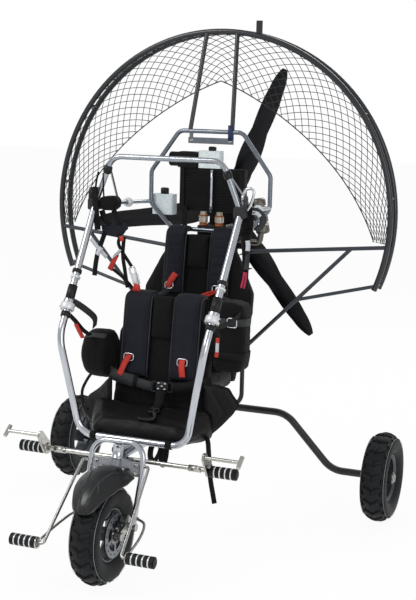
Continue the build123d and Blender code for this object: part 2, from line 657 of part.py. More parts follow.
# Coolant fittings: two stepped couplings between the engine's top and the radiator
FITTING_SIDES = (-44, 30)
FITTING_RADIUS = 14
FITTING_COLLAR_RADIUS = 20
with BuildPart() as coolant_fittings:
    fitting_foot = ENGINE_TOP + SEAT_GAP
    fitting_rise = RADIATOR_BOTTOM - SEAT_GAP - fitting_foot
    for across in FITTING_SIDES:
        with BuildSketch(Plane.XY.offset(fitting_foot)):
            with Locations(place(across, radiator_middle + 4, 0)[:2]):
                Circle(FITTING_RADIUS)
        extrude(amount=fitting_rise)
        with BuildSketch(Plane.XY.offset(fitting_foot + fitting_rise * 0.25)):
            with Locations(place(across, radiator_middle + 4, 0)[:2]):
                Circle(FITTING_COLLAR_RADIUS)
        extrude(amount=fitting_rise * 0.4)
coolant_fittings.part.label = "coolant_fittings"
export_step(coolant_fittings.part, "parts/coolant_fittings.step")

# Silencer: a capsule slung beside the radiator on the engine's outlet pipe
SILENCER_RADIUS = 30
OUTLET_RADIUS = 13
with BuildPart() as silencer:
    silencer_low = place(222, EXHAUST_BACK, 1240)
    silencer_high = place(196, EXHAUST_BACK - 6, 1390)
    add(tube(SILENCER_RADIUS, [silencer_low, silencer_high]))
    fillet(silencer.edges().filter_by(GeomType.CIRCLE), 12)
    add(tube(OUTLET_RADIUS, [
        place(ENGINE_HALF_WIDTH + SEAT_GAP, EXHAUST_BACK, EXHAUST_HEIGHT),
        place(206, EXHAUST_BACK, EXHAUST_HEIGHT),
        along(silencer_low, silencer_high, 0.2),
    ], [18]))
silencer.part.label = "silencer"
export_step(silencer.part, "parts/silencer.step")


def leaning(behind, height, lean):
    """A plane across the machine that leans back, with its Y axis up the slope"""
    return Plane(
        origin=place(0, behind, height),
        x_dir=(1, 0, 0),
        z_dir=(0, -cos(radians(lean)), sin(radians(lean))),
    )


def outline(half_points):
    """A closed outline from the points of its right half, top to bottom"""
    left = [(-x, y) for x, y in reversed(half_points)]
    return half_points + left


# Front seat: a thick pan on the keel and a leaning back, two upholstered solids
SEAT_LEAN = 8
PAN_BOTTOM = KEEL_HEIGHT + KEEL_RADIUS + SEAT_GAP
FRONT_PAN_TOP = 602
FRONT_PAN_NOSE = 262
FRONT_PAN_HALF_WIDTH = 262
FRONT_PAN_NOSE_HALF_WIDTH = 196
NOSE_HEIGHT = 536
NOSE_SLOPE = 150
FRONT_BACK_FOOT = 455
FRONT_BACK_THICKNESS = 76
FRONT_BACK_WAIST = 215
FRONT_BACK_HIP = 226
SEAT_ROUNDING = 22
back_foot = FRONT_BACK_THICKNESS * tan(radians(SEAT_LEAN))
front_back = leaning(FRONT_BACK_FOOT, PAN_BOTTOM, SEAT_LEAN)
# columns: half width, distance up the back
FRONT_BACK_OUTLINE = [
    (158, 560), (166, 482), (FRONT_BACK_WAIST, 398), (FRONT_BACK_WAIST, 150), (FRONT_BACK_HIP, back_foot),
]
with BuildPart() as front_seat:
    with BuildSketch(Plane.XY.offset(PAN_BOTTOM)):
        with BuildLine():
            Polyline(
                (-FRONT_PAN_NOSE_HALF_WIDTH, back(FRONT_PAN_NOSE)),
                (FRONT_PAN_NOSE_HALF_WIDTH, back(FRONT_PAN_NOSE)),
                (FRONT_PAN_HALF_WIDTH, back(FRONT_BACK_FOOT - 40)),
                (FRONT_PAN_HALF_WIDTH, back(FRONT_BACK_FOOT - SEAT_GAP)),
                (-FRONT_PAN_HALF_WIDTH, back(FRONT_BACK_FOOT - SEAT_GAP)),
                (-FRONT_PAN_HALF_WIDTH, back(FRONT_BACK_FOOT - 40)),
                close=True,
            )
        make_face()
        fillet(vertices().group_by(Axis.Y)[0], SEAT_ROUNDING)
    extrude(amount=FRONT_PAN_TOP - PAN_BOTTOM)
    with BuildSketch(Plane.YZ):
        with BuildLine():
            Polyline(
                (back(FRONT_PAN_NOSE - 1), NOSE_HEIGHT),
                (back(FRONT_PAN_NOSE + NOSE_SLOPE), FRONT_PAN_TOP),
                (back(FRONT_PAN_NOSE + NOSE_SLOPE), FRONT_PAN_TOP + 1),
                (back(FRONT_PAN_NOSE - 1), FRONT_PAN_TOP + 1),
                close=True,
            )
        make_face()
    extrude(amount=FRONT_PAN_HALF_WIDTH + 1, both=True, mode=Mode.SUBTRACT)
    fillet(front_seat.faces().filter_by(Axis.Z).sort_by(Axis.Z)[-1].edges().group_by(Axis.Y)[-1], SEAT_GAP)
    with BuildSketch(front_back):
        with BuildLine():
            Polyline(*outline(FRONT_BACK_OUTLINE), close=True)
        make_face()
        fillet(vertices(), SEAT_ROUNDING)
    extrude(amount=-FRONT_BACK_THICKNESS)
front_seat.part.label = "front_seat"
export_step(front_seat.part, "parts/front_seat.step")

# Front pads: the two padded shoulder straps on the front seat's back
PAD_WIDTH = 104
PAD_THICKNESS = 26
PAD_LENGTH = 250
PAD_ROUNDING = 22
FRONT_PAD_SIDE = 106
FRONT_PAD_UP = 435
with BuildPart() as front_pads:
    with BuildSketch(front_back.offset(SEAT_GAP)):
        with Locations((-FRONT_PAD_SIDE, FRONT_PAD_UP), (FRONT_PAD_SIDE, FRONT_PAD_UP)):
            RectangleRounded(PAD_WIDTH, PAD_LENGTH, PAD_ROUNDING)
    extrude(amount=PAD_THICKNESS)
front_pads.part.label = "front_pads"
export_step(front_pads.part, "parts/front_pads.step")

# Rear seat: pan on the pillar, back against the engine posts
REAR_PAN_FRONT = 602
REAR_BACK_FOOT = 792
REAR_BACK_THICKNESS = 70
REAR_PAN_THICKNESS = 80
REAR_PAN_HALF_WIDTH = 200
REAR_PAN_NOSE_HALF_WIDTH = 170
REAR_BACK_SIDE = 262
# columns: half width, distance up the back
REAR_BACK_OUTLINE = [
    (128, 640), (190, 540), (REAR_BACK_SIDE, 400), (REAR_BACK_SIDE, 300), (210, 60), (REAR_PAN_HALF_WIDTH, 0),
]
rear_back = leaning(REAR_BACK_FOOT, PILLAR_TOP + SEAT_GAP, SEAT_LEAN)
with BuildPart() as rear_seat:
    with BuildSketch(Plane.XY.offset(PILLAR_TOP + SEAT_GAP)):
        with BuildLine():
            Polyline(
                (-REAR_PAN_NOSE_HALF_WIDTH, back(REAR_PAN_FRONT)),
                (REAR_PAN_NOSE_HALF_WIDTH, back(REAR_PAN_FRONT)),
                (REAR_PAN_HALF_WIDTH, back(REAR_BACK_FOOT - SEAT_GAP)),
                (-REAR_PAN_HALF_WIDTH, back(REAR_BACK_FOOT - SEAT_GAP)),
                close=True,
            )
        make_face()
    extrude(amount=REAR_PAN_THICKNESS)
    fillet(rear_seat.edges().group_by(Axis.Z)[-1], 18)
    with BuildSketch(rear_back):
        with BuildLine():
            Polyline(*outline(REAR_BACK_OUTLINE), close=True)
        make_face()
        fillet(vertices(), SEAT_ROUNDING)
    extrude(amount=-REAR_BACK_THICKNESS)
rear_seat.part.label = "rear_seat"
export_step(rear_seat.part, "parts/rear_seat.step")

# Rear pads: the two padded shoulder straps on the rear seat's back
REAR_PAD_SIDE = 95
REAR_PAD_UP = 505
with BuildPart() as rear_pads:
    with BuildSketch(rear_back.offset(SEAT_GAP)):
        with Locations((-REAR_PAD_SIDE, REAR_PAD_UP), (REAR_PAD_SIDE, REAR_PAD_UP)):
            RectangleRounded(PAD_WIDTH - 14, PAD_LENGTH, PAD_ROUNDING)
    extrude(amount=PAD_THICKNESS)
rear_pads.part.label = "rear_pads"
export_step(rear_pads.part, "parts/rear_pads.step")

# Side pouch: the round container on the right side of the front seat's back
POUCH_WIDTH = 122
POUCH_BACK = 505
POUCH_HEIGHT = 768
POUCH_HALF_SIZE = (88, 104)
with BuildPart() as side_pouch:
    with BuildSketch(Plane.YZ.offset(-FRONT_BACK_WAIST - SEAT_GAP)):
        with Locations((back(POUCH_BACK), POUCH_HEIGHT)):
            Ellipse(*POUCH_HALF_SIZE)
    extrude(amount=-POUCH_WIDTH)
    fillet(side_pouch.edges(), 26)
side_pouch.part.label = "side_pouch"
export_step(side_pouch.part, "parts/side_pouch.step")

# Side bag: the tall container on the left side of the front seat's back
BAG_WIDTH = 132
BAG_BACK = 560
BAG_HEIGHT = 880
BAG_SIZE = (130, 290)
with BuildPart() as side_bag:
    with BuildSketch(Plane.YZ.offset(FRONT_BACK_WAIST + SEAT_GAP)):
        with Locations((back(BAG_BACK), BAG_HEIGHT)):
            RectangleRounded(*BAG_SIZE, 40)
    extrude(amount=BAG_WIDTH)
    fillet(side_bag.edges(), 24)
side_bag.part.label = "side_bag"
export_step(side_bag.part, "parts/side_bag.step")

# Fork loop: an upside-down U in the raked plane, either side of the front wheel
LEG_FOOT = -282
LEG_FOOT_SIDE = 100
LEG_BEND_UP = -90
FORK_BEND = 62


def fork_tube(radius):
    """The fork's upside-down U at a given tube radius"""
    right = [
        on_head(LEG_FOOT_SIDE, 0, LEG_FOOT),
        on_head(FORK_HALF_WIDTH, 0, LEG_BEND_UP),
        on_head(FORK_HALF_WIDTH, 0, FORK_TOP),
    ]
    left = [opposite(point) for point in reversed(right)]
    return tube(radius, right + left, [200, FORK_BEND, FORK_BEND, 200])


with BuildPart() as fork_loop:
    add(fork_tube(FORK_RADIUS))
fork_loop.part.label = "fork_loop"
export_step(fork_loop.part, "parts/fork_loop.step")

# Fork crown: the plate between the fork's legs, with the stem that turns in the head tube
with BuildPart() as fork_crown:
    with BuildSketch(head.offset(CROWN_TOP - CROWN_HEIGHT)):
        Rectangle(2 * FORK_HALF_WIDTH, CROWN_THICKNESS)
    extrude(amount=CROWN_HEIGHT)
    with BuildSketch(head.offset(CROWN_TOP - CROWN_HEIGHT)):
        Circle(STEM_RADIUS + 5)
    extrude(amount=CROWN_HEIGHT)
    with BuildSketch(head.offset(CROWN_TOP)):
        Circle(STEM_RADIUS)
    extrude(amount=FORK_UNDERSIDE - SEAT_GAP - CROWN_TOP)
    add(fork_tube(FORK_RADIUS + SEAT_GAP), mode=Mode.SUBTRACT)
fork_crown.part.label = "fork_crown"
export_step(fork_crown.part, "parts/fork_crown.step")

# Fork links: short leading links from the legs' feet to the axle, with the brake caliper on the left
knuckle = on_head(LEG_FOOT_SIDE, 0, LEG_FOOT)
LINK_INNER = 66
LINK_THICKNESS = 10
LINK_EYE = 17
BOSS_RADIUS = 15
BOSS_LENGTH = 46
CALIPER_INNER = HUB_LENGTH / 2 + 11
CALIPER_THICKNESS = 24
CALIPER_SIZE = (54, 34)
CALIPER_TURN = -38
boss_centre = (knuckle[1], knuckle[2] - BOSS_RADIUS + 6)
with BuildPart() as fork_links:
    with BuildSketch(Plane.YZ.offset(LINK_INNER)):
        with Locations((back(0), TYRE_RADIUS), boss_centre):
            Circle(LINK_EYE)
        make_hull()
        with Locations((back(0), TYRE_RADIUS)):
            Circle(AXLE_RADIUS + SEAT_GAP, mode=Mode.SUBTRACT)
    extrude(amount=LINK_THICKNESS)
    with BuildSketch(Plane.YZ.offset(LINK_INNER)):
        with Locations(boss_centre):
            Circle(BOSS_RADIUS)
    extrude(amount=BOSS_LENGTH)
    add(tube(FORK_RADIUS + SEAT_GAP, [
        on_head(LEG_FOOT_SIDE, 0, LEG_FOOT - SEAT_GAP), on_head(FORK_HALF_WIDTH, 0, LEG_BEND_UP),
    ]), mode=Mode.SUBTRACT)
    mirror(about=Plane.YZ)
    with BuildSketch(Plane.YZ.offset(CALIPER_INNER)):
        with Locations(Location((boss_centre[0] - 4, boss_centre[1] + 24), CALIPER_TURN)):
            RectangleRounded(*CALIPER_SIZE, 9)
    extrude(amount=CALIPER_THICKNESS)
fork_links.part.label = "fork_links"
export_step(fork_links.part, "parts/fork_links.step")

# Front axle: the pin through both links and the hub, with a spacer each side
SPACER_OUTER = 15
FRONT_AXLE_HALF = LINK_INNER + LINK_THICKNESS + 6
with BuildPart() as front_axle:
    with BuildSketch(Plane.YZ.offset(-FRONT_AXLE_HALF)):
        with Locations((back(0), TYRE_RADIUS)):
            Circle(AXLE_RADIUS)
    extrude(amount=2 * FRONT_AXLE_HALF)
    with BuildSketch(Plane.YZ.offset(HUB_LENGTH / 2 + 0.5)):
        with Locations((back(0), TYRE_RADIUS)):
            Circle(SPACER_OUTER)
    extrude(amount=LINK_INNER - SEAT_GAP - HUB_LENGTH / 2 - 0.5)
    mirror(about=Plane.YZ)
front_axle.part.label = "front_axle"
export_step(front_axle.part, "parts/front_axle.step")

# Mudguard: a flared shell over the tyre's top and front, on two tabs from the crown
GUARD_THICKNESS = 5
# columns: degrees back from straight up, half width, crown's distance from the axle, drop at the sides
GUARD_SECTIONS = (
    (-48, 44, 219, 8),
    (-22, 80, 236, 34),
    (0, 96, 246, 44),
    (19, 98, 253, 32),
)
GUARD_TAB_SIDE = 45
GUARD_TAB_WIDTH = 24
GUARD_TAB_FRONT = 62
GUARD_TAB_HEIGHT = 425
GUARD_TAB_THICKNESS = 6
wheel_centre = (0, back(0), TYRE_RADIUS)


def around_wheel(angle):
    """A plane through the front axle whose local Y points out at an angle back from straight up"""
    return Plane(
        origin=wheel_centre,
        x_dir=(1, 0, 0),
        z_dir=(0, -cos(radians(angle)), sin(radians(angle))),
    )


with BuildPart() as mudguard:
    for angle, half_width, reach, drop in GUARD_SECTIONS:
        with BuildSketch(around_wheel(angle)):
            with BuildLine():
                outer = ThreePointArc((-half_width, reach - drop), (0, reach), (half_width, reach - drop))
                inner = ThreePointArc(
                    (GUARD_THICKNESS - half_width, reach - drop - 1),
                    (0, reach - GUARD_THICKNESS),
                    (half_width - GUARD_THICKNESS, reach - drop - 1),
                )
                Line(outer @ 0, inner @ 0)
                Line(outer @ 1, inner @ 1)
            make_face()
    loft()
    with Locations(*[place(side * GUARD_TAB_SIDE, (GUARD_TAB_FRONT + HEAD_BACK - 19) / 2, GUARD_TAB_HEIGHT)
                     for side in (-1, 1)]):
        Box(GUARD_TAB_WIDTH, HEAD_BACK - 19 - GUARD_TAB_FRONT, GUARD_TAB_THICKNESS)
    with BuildSketch(head.offset(CROWN_TOP - CROWN_HEIGHT)):
        Rectangle(2 * FORK_HALF_WIDTH, CROWN_THICKNESS + 2 * SEAT_GAP)
    extrude(amount=CROWN_HEIGHT, mode=Mode.SUBTRACT)
mudguard.part.label = "mudguard"
export_step(mudguard.part, "parts/mudguard.step")

# Steering pegs: ringed pegs low beside the front wheel, for the feet that steer
LOWER_PEG_SIDE = 184
LOWER_PEG_BACK = -168
LOWER_PEG_HEIGHT = 184
with BuildPart() as steering_pegs:
    add(ringed_peg(place(LOWER_PEG_SIDE, LOWER_PEG_BACK, LOWER_PEG_HEIGHT), PEG_LENGTH, PEG_RADIUS, PEG_RINGS))
    mirror(about=Plane.YZ)
steering_pegs.part.label = "steering_pegs"
export_step(steering_pegs.part, "parts/steering_pegs.step")

# Peg rods: from the fork's legs down and forward to the steering pegs
PEG_ROD_RADIUS = 6
PEG_ROD_UP = -62
PEG_ROD_BEND = 26
with BuildPart() as peg_rods:
    add(tube(PEG_ROD_RADIUS, [
        on_head(FORK_HALF_WIDTH, 0, PEG_ROD_UP),
        on_head(FORK_HALF_WIDTH + 30, 8, PEG_ROD_UP),
        place(LOWER_PEG_SIDE - 26, LOWER_PEG_BACK, LOWER_PEG_HEIGHT),
        place(LOWER_PEG_SIDE - SEAT_GAP, LOWER_PEG_BACK, LOWER_PEG_HEIGHT),
    ], [PEG_ROD_BEND / 2, PEG_ROD_BEND / 2]))
    add(fork_tube(FORK_RADIUS + SEAT_GAP), mode=Mode.SUBTRACT)
    mirror(about=Plane.YZ)
peg_rods.part.label = "peg_rods"
export_step(peg_rods.part, "parts/peg_rods.step")


def wheel_plane(centre):
    """A plane through a wheel's centre: local X along its axle, local Y straight up"""
    return Plane(origin=centre, x_dir=(1, 0, 0), z_dir=(0, -1, 0))


def tyre(centre):
    """A round-shouldered tyre on its bead seats"""
    half_bead = RIM_WIDTH / 2
    half_width = TYRE_WIDTH / 2
    shoulder = (half_width - 7, TYRE_RADIUS - 21)
    with BuildPart() as piece:
        with BuildSketch(wheel_plane(centre)):
            with BuildLine():
                Line((-half_bead, RIM_RADIUS), (half_bead, RIM_RADIUS))
                ThreePointArc((half_bead, RIM_RADIUS), (half_width, (RIM_RADIUS + TYRE_RADIUS) / 2), shoulder)
                ThreePointArc(shoulder, (0, TYRE_RADIUS), (-shoulder[0], shoulder[1]))
                ThreePointArc((-shoulder[0], shoulder[1]), (-half_width, (RIM_RADIUS + TYRE_RADIUS) / 2),
                              (-half_bead, RIM_RADIUS))
            make_face()
        revolve(axis=Axis(centre, (1, 0, 0)))
    return piece.part


SPOKES = 5
SPOKE_THICKNESS = 16


def rim(centre):
    """A cast rim: barrel, hub with its bore, and tapered spokes"""
    edge = RIM_RADIUS - SEAT_GAP
    half = RIM_WIDTH / 2
    with BuildPart() as piece:
        with BuildSketch(wheel_plane(centre)):
            with BuildLine():
                Polyline((-half, edge), (half, edge), (half, edge - 5), (half - 9, edge - 13),
                         (9 - half, edge - 13), (-half, edge - 5), close=True)
            make_face()
        revolve(axis=Axis(centre, (1, 0, 0)))
        spoke_plane = Plane(origin=centre, x_dir=(0, 1, 0), z_dir=(1, 0, 0)).offset(-SPOKE_THICKNESS / 2)
        with BuildSketch(spoke_plane):
            with PolarLocations(0, SPOKES, start_angle=90):
                with BuildLine():
                    Polyline((0, -15), (edge - 10, -9), (edge - 10, 9), (0, 15), close=True)
                make_face()
        extrude(amount=SPOKE_THICKNESS)
        with BuildSketch(spoke_plane.offset(SPOKE_THICKNESS / 2 - HUB_LENGTH / 2)):
            Circle(HUB_RADIUS)
        extrude(amount=HUB_LENGTH)
        with BuildSketch(spoke_plane.offset(SPOKE_THICKNESS / 2 - HUB_LENGTH / 2)):
            Circle(AXLE_RADIUS + RUNNING_FIT)
        extrude(amount=HUB_LENGTH, mode=Mode.SUBTRACT)
    return piece.part


# Wheels: the same tyre and rim three times, the rear pair on the axle's stubs
wheels = {
    "front": wheel_centre,
    "rear_left": (TRACK / 2, back(WHEELBASE), TYRE_RADIUS),
    "rear_right": (-TRACK / 2, back(WHEELBASE), TYRE_RADIUS),
}
for name, centre in wheels.items():
    with BuildPart() as wheel_tyre:
        add(tyre(centre))
    wheel_tyre.part.label = "tyre_" + name
    export_step(wheel_tyre.part, "parts/tyre_" + name + ".step")
    with BuildPart() as wheel_rim:
        add(rim(centre))
    wheel_rim.part.label = "rim_" + name
    export_step(wheel_rim.part, "parts/rim_" + name + ".step")

# Brake disc: the drilled disc on the left end of the front hub
DISC_RADIUS = 84
DISC_BAND = 26
DISC_THICKNESS = 5
DISC_BORE = 20
DISC_HOLES = 15
DISC_ARMS = 5
with BuildPart() as brake_disc:
    disc_plane = Plane(origin=wheel_centre, x_dir=(0, 1, 0), z_dir=(1, 0, 0)).offset(HUB_LENGTH / 2 + SEAT_GAP)
    with BuildSketch(disc_plane):
        Circle(DISC_RADIUS)
        Circle(DISC_RADIUS - DISC_BAND, mode=Mode.SUBTRACT)
        with PolarLocations(DISC_RADIUS - DISC_BAND / 2, DISC_HOLES):
            Circle(4, mode=Mode.SUBTRACT)
        with PolarLocations((DISC_RADIUS - DISC_BAND) / 2, DISC_ARMS, start_angle=54):
            Rectangle(DISC_RADIUS - DISC_BAND + 6, 14)
        Circle(HUB_RADIUS + 6)
        Circle(DISC_BORE, mode=Mode.SUBTRACT)
    extrude(amount=DISC_THICKNESS)
brake_disc.part.label = "brake_disc"
export_step(brake_disc.part, "parts/brake_disc.step")

# Propeller hub: a bored boss on the shaft with three blade sockets
HUB_BOSS_RADIUS = 34
SOCKET_RADIUS = 22
SOCKET_END = 72
SOCKET_DEPTH = 30
ROOT_RADIUS = 16
prop_centre = place(0, PROP_BACK, CAGE_HEIGHT)
prop_plane = Plane(origin=prop_centre, x_dir=(1, 0, 0), z_dir=(0, -1, 0))


def blade_plane(angle, distance):
    """A plane across a blade, so far from the hub's centre, by the blade's angle from the top"""
    out = Vector(sin(radians(angle)), 0, cos(radians(angle)))
    return Plane(origin=Vector(*prop_centre) + out * distance, x_dir=(cos(radians(angle)), 0, -sin(radians(angle))),
                 z_dir=out)


with BuildPart() as prop_hub:
    with BuildSketch(prop_plane.offset(-SOCKET_RADIUS)):
        Circle(HUB_BOSS_RADIUS)
    extrude(amount=2 * SOCKET_RADIUS)
    for angle in PROP_ANGLES:
        with BuildSketch(blade_plane(angle, 0)):
            Circle(SOCKET_RADIUS)
        extrude(amount=SOCKET_END)
        with BuildSketch(blade_plane(angle, SOCKET_END - SOCKET_DEPTH)):
            Circle(ROOT_RADIUS + SEAT_GAP)
        extrude(amount=SOCKET_DEPTH, mode=Mode.SUBTRACT)
    with BuildSketch(prop_plane.offset(-SOCKET_RADIUS)):
        Circle(SHAFT_RADIUS + RUNNING_FIT)
    extrude(amount=2 * SOCKET_RADIUS, mode=Mode.SUBTRACT)
prop_hub.part.label = "prop_hub"
export_step(prop_hub.part, "parts/prop_hub.step")

# Propeller blades: a round root that flattens, widens and untwists towards the tip
# columns: distance from the shaft, chord, thickness, pitch in degrees
BLADE_SECTIONS = (
    (SOCKET_END + 8, 2 * ROOT_RADIUS, 2 * ROOT_RADIUS, 45),
    (150, 86, 20, 36),
    (260, 96, 15, 27),
    (470, 78, 10, 17),
    (PROP_RADIUS - 30, 46, 7, 12),
    (PROP_RADIUS, 22, 4, 11),
)
with BuildPart() as prop_blades:
    for angle in PROP_ANGLES:
        with BuildSketch(blade_plane(angle, SOCKET_END - SOCKET_DEPTH + SEAT_GAP)):
            Circle(ROOT_RADIUS)
        extrude(amount=SOCKET_DEPTH + 8 - SEAT_GAP)
        for distance, chord, thickness, pitch in BLADE_SECTIONS:
            section_plane = blade_plane(angle, distance).rotated((0, 0, pitch))
            with BuildSketch(section_plane):
                with BuildLine():
                    ThreePointArc((-chord / 2, 0), (0, thickness / 2), (chord / 2, 0))
                    ThreePointArc((chord / 2, 0), (0, -thickness / 2), (-chord / 2, 0))
                make_face()
        loft()
prop_blades.part.label = "prop_blades"
export_step(prop_blades.part, "parts/prop_blades.step")
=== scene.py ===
import math

import bmesh
import bpy
from mathutils import Matrix, Vector
from mathutils.bvhtree import BVHTree


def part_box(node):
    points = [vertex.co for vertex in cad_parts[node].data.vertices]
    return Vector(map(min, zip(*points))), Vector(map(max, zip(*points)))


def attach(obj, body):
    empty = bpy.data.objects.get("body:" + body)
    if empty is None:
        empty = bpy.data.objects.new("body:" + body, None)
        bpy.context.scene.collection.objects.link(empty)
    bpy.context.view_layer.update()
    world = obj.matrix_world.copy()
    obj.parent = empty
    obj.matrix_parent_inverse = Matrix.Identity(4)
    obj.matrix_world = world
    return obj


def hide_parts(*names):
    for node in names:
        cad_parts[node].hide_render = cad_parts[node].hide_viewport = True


bl_info = {"name": "Two-seat trike dressing", "version": (1, 0, 0), "blender": (4, 5, 0),
    "location": "View3D > Sidebar > Trike",
    "description": "Dresses the packed two-seat trike with tyres, seats, netting, webbing and finishes",
    "category": "Object"}

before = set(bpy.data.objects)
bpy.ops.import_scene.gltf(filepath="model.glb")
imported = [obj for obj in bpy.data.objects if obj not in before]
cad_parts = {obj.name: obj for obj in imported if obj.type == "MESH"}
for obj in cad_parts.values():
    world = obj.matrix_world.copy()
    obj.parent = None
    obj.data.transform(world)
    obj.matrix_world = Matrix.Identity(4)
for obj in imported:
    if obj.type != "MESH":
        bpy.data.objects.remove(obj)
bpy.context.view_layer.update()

# The front wheel's centre, from its packed tyre: every place below is measured back from it
TYRE_LOW, TYRE_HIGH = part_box("tyre_front")
WHEEL_CENTRE = (TYRE_LOW + TYRE_HIGH) / 2
TYRE_RADIUS = (TYRE_HIGH.z - TYRE_LOW.z) / 2


def place(across, behind, height):
    """A point in the row frame from millimetres: sideways, behind the front axle, above the ground"""
    return Vector((across / 1000, WHEEL_CENTRE.y + behind / 1000, height / 1000))


def places(*rows):
    """Points from rows of millimetres, each as place() takes them"""
    return [place(*row) for row in rows]


def sided(sign, spot):
    """The place of a spot in millimetres on the left (1) or right (-1) side"""
    return place(sign * spot[0], *spot[1:])


def full_turn(count, extra=0):
    """Even angles round a full turn"""
    return [2 * math.pi * number / count for number in range(count + extra)]


# Places in millimetres: sideways, behind the front axle, above the ground
KNUCKLE = (316, 525, 1375)
LOOP_SHOULDER = (305, 211, 878)
STARTER = (0, 992, 1046)
PROPELLER = (0, 1180, 1320)
SILENCER = ((222, 1044, 1240), (196, 1038, 1390))
AXLE_HEIGHT = 195
REAR_AXLE = 1200
VALVE_TURN = 0.9
# The pouch's inner face sideways, and its axis behind the front axle and above the ground
POUCH_FACE, POUCH_BEHIND, POUCH_HEIGHT = -216, 505, 768

# The raked steering axis, and a point measured from where it meets the head
HEAD_UP = Vector((0, 0.241922, 0.970296))
HEAD_AHEAD = Vector((0, -0.970296, 0.241922))


def on_head(across, ahead, up):
    """A point in the steering frame from millimetres: sideways, ahead of the axis and up along it"""
    return place(across, 125, 500) + HEAD_AHEAD * ahead / 1000 + HEAD_UP * up / 1000


def linear(text):
    """An sRGB hex colour as linear red, green, blue and alpha"""
    shares = [int(text[at:at + 2], 16) / 255 for at in (1, 3, 5)]
    return tuple(c / 12.92 if c <= 0.04045 else ((c + 0.055) / 1.055) ** 2.4 for c in shares) + (1.0,)


def add_node(tree, kind, inputs=None, **settings):
    """Adds a node with its settings. An input given a socket is linked, and any other is its value"""
    node = tree.nodes.new(kind)
    for name, value in settings.items():
        setattr(node, name, value)
    for name, value in (inputs or {}).items():
        if isinstance(value, bpy.types.NodeSocket):
            tree.links.new(value, node.inputs[name])
        else:
            node.inputs[name].default_value = value
    return node


# Sizes and colours that a user would change


class StageSettings(bpy.types.PropertyGroup):
    camera_place: bpy.props.FloatVectorProperty(name="Camera place", description="Where the camera stands",
        size=3, subtype="TRANSLATION", unit="LENGTH", default=(2.129, -4.806, 1.844))
    camera_turn: bpy.props.FloatVectorProperty(name="Camera turn",
        description="Azimuth, downward tilt and roll", size=3, subtype="EULER", unit="ROTATION",
        default=(math.radians(22.38), math.radians(9.14), math.radians(1.38)))
    lens: bpy.props.FloatProperty(name="Lens", description="Focal length in millimetres on a 36 mm sensor",
        default=78.69, min=10)
    floor_size: bpy.props.FloatProperty(name="Floor size", description="Side of the square floor",
        default=60.0, unit="LENGTH")
    floor_colour: bpy.props.FloatVectorProperty(name="Floor colour", description="Colour of the pale floor",
        size=3, subtype="COLOR", default=linear("#F4F4F2")[:3])


class TyreSettings(bpy.types.PropertyGroup):
    lug_count: bpy.props.IntProperty(name="Lugs", description="Chevron lugs round each tyre", default=19,
        min=6)
    lug_height: bpy.props.FloatProperty(name="Lug height",
        description="How far the tread stands out of the carcass", default=0.007, unit="LENGTH")


class NetSettings(bpy.types.PropertyGroup):
    cord_radius: bpy.props.FloatProperty(name="Cord radius", description="Radius of one netting cord",
        default=0.0015, unit="LENGTH")
    inner_radius: bpy.props.FloatProperty(name="Inner radius",
        description="Radius of the rope that closes the net", default=0.50, unit="LENGTH")
    cords: bpy.props.IntProperty(name="Cords", description="Cords in each of the two crossing families",
        default=44, min=8)


class SeatSettings(bpy.types.PropertyGroup):
    voxel: bpy.props.FloatProperty(name="Voxel", description="Grid of the cushions' remesh", default=0.007,
        unit="LENGTH")
    pressure: bpy.props.FloatProperty(name="Pressure", description="How hard the cushions are filled",
        default=4.0)
    webbing_width: bpy.props.FloatProperty(name="Webbing width", description="Width of the belts",
        default=0.042, unit="LENGTH")


# Finishes


def start_material(name, sockets):
    """A material with one shader: returns it, its tree, the shader and the object's coordinates"""
    material = bpy.data.materials.new(name)
    material.use_nodes = True
    tree = material.node_tree
    tree.nodes.clear()
    shader = add_node(tree, "ShaderNodeBsdfPrincipled", sockets)
    add_node(tree, "ShaderNodeOutputMaterial", {"Surface": shader.outputs[0]})
    coordinates = add_node(tree, "ShaderNodeTexCoord").outputs["Object"]
    return material, tree, shader, coordinates


def grained(name, first, second, grain_mm, rough, relief_mm=0.0, stretch=(1, 1, 1), **sockets):
    """A surface whose colour, roughness and relief follow one grain of a real size"""
    material, tree, shader, where = start_material(name, sockets)
    where = add_node(tree, "ShaderNodeMapping", {"Vector": where, "Scale": stretch}).outputs[0]
    grain = add_node(tree, "ShaderNodeTexNoise", {"Vector": where, "Scale": 1000 / grain_mm, "Detail": 4.0})
    cloud = add_node(tree, "ShaderNodeTexNoise", {"Vector": where, "Scale": 40 / grain_mm, "Detail": 2.0})
    both = add_node(tree, "ShaderNodeMath", {0: grain.outputs["Fac"], 1: cloud.outputs["Fac"]},
        operation="ADD")
    share = add_node(tree, "ShaderNodeMapRange",
        {"Value": both.outputs[0], "From Min": 0.75, "From Max": 1.25}).outputs[0]
    colour = add_node(tree, "ShaderNodeMix", {"Factor": share, 6: linear(first), 7: linear(second)},
        data_type="RGBA")
    roughness = add_node(tree, "ShaderNodeMapRange",
        {"Value": share, "To Min": rough[0], "To Max": rough[1]})
    tree.links.new(colour.outputs[2], shader.inputs["Base Color"])
    tree.links.new(roughness.outputs[0], shader.inputs["Roughness"])
    if relief_mm:
        bump = add_node(tree, "ShaderNodeBump",
            {"Height": grain.outputs["Fac"], "Distance": relief_mm / 1000})
        tree.links.new(bump.outputs[0], shader.inputs["Normal"])
    return material


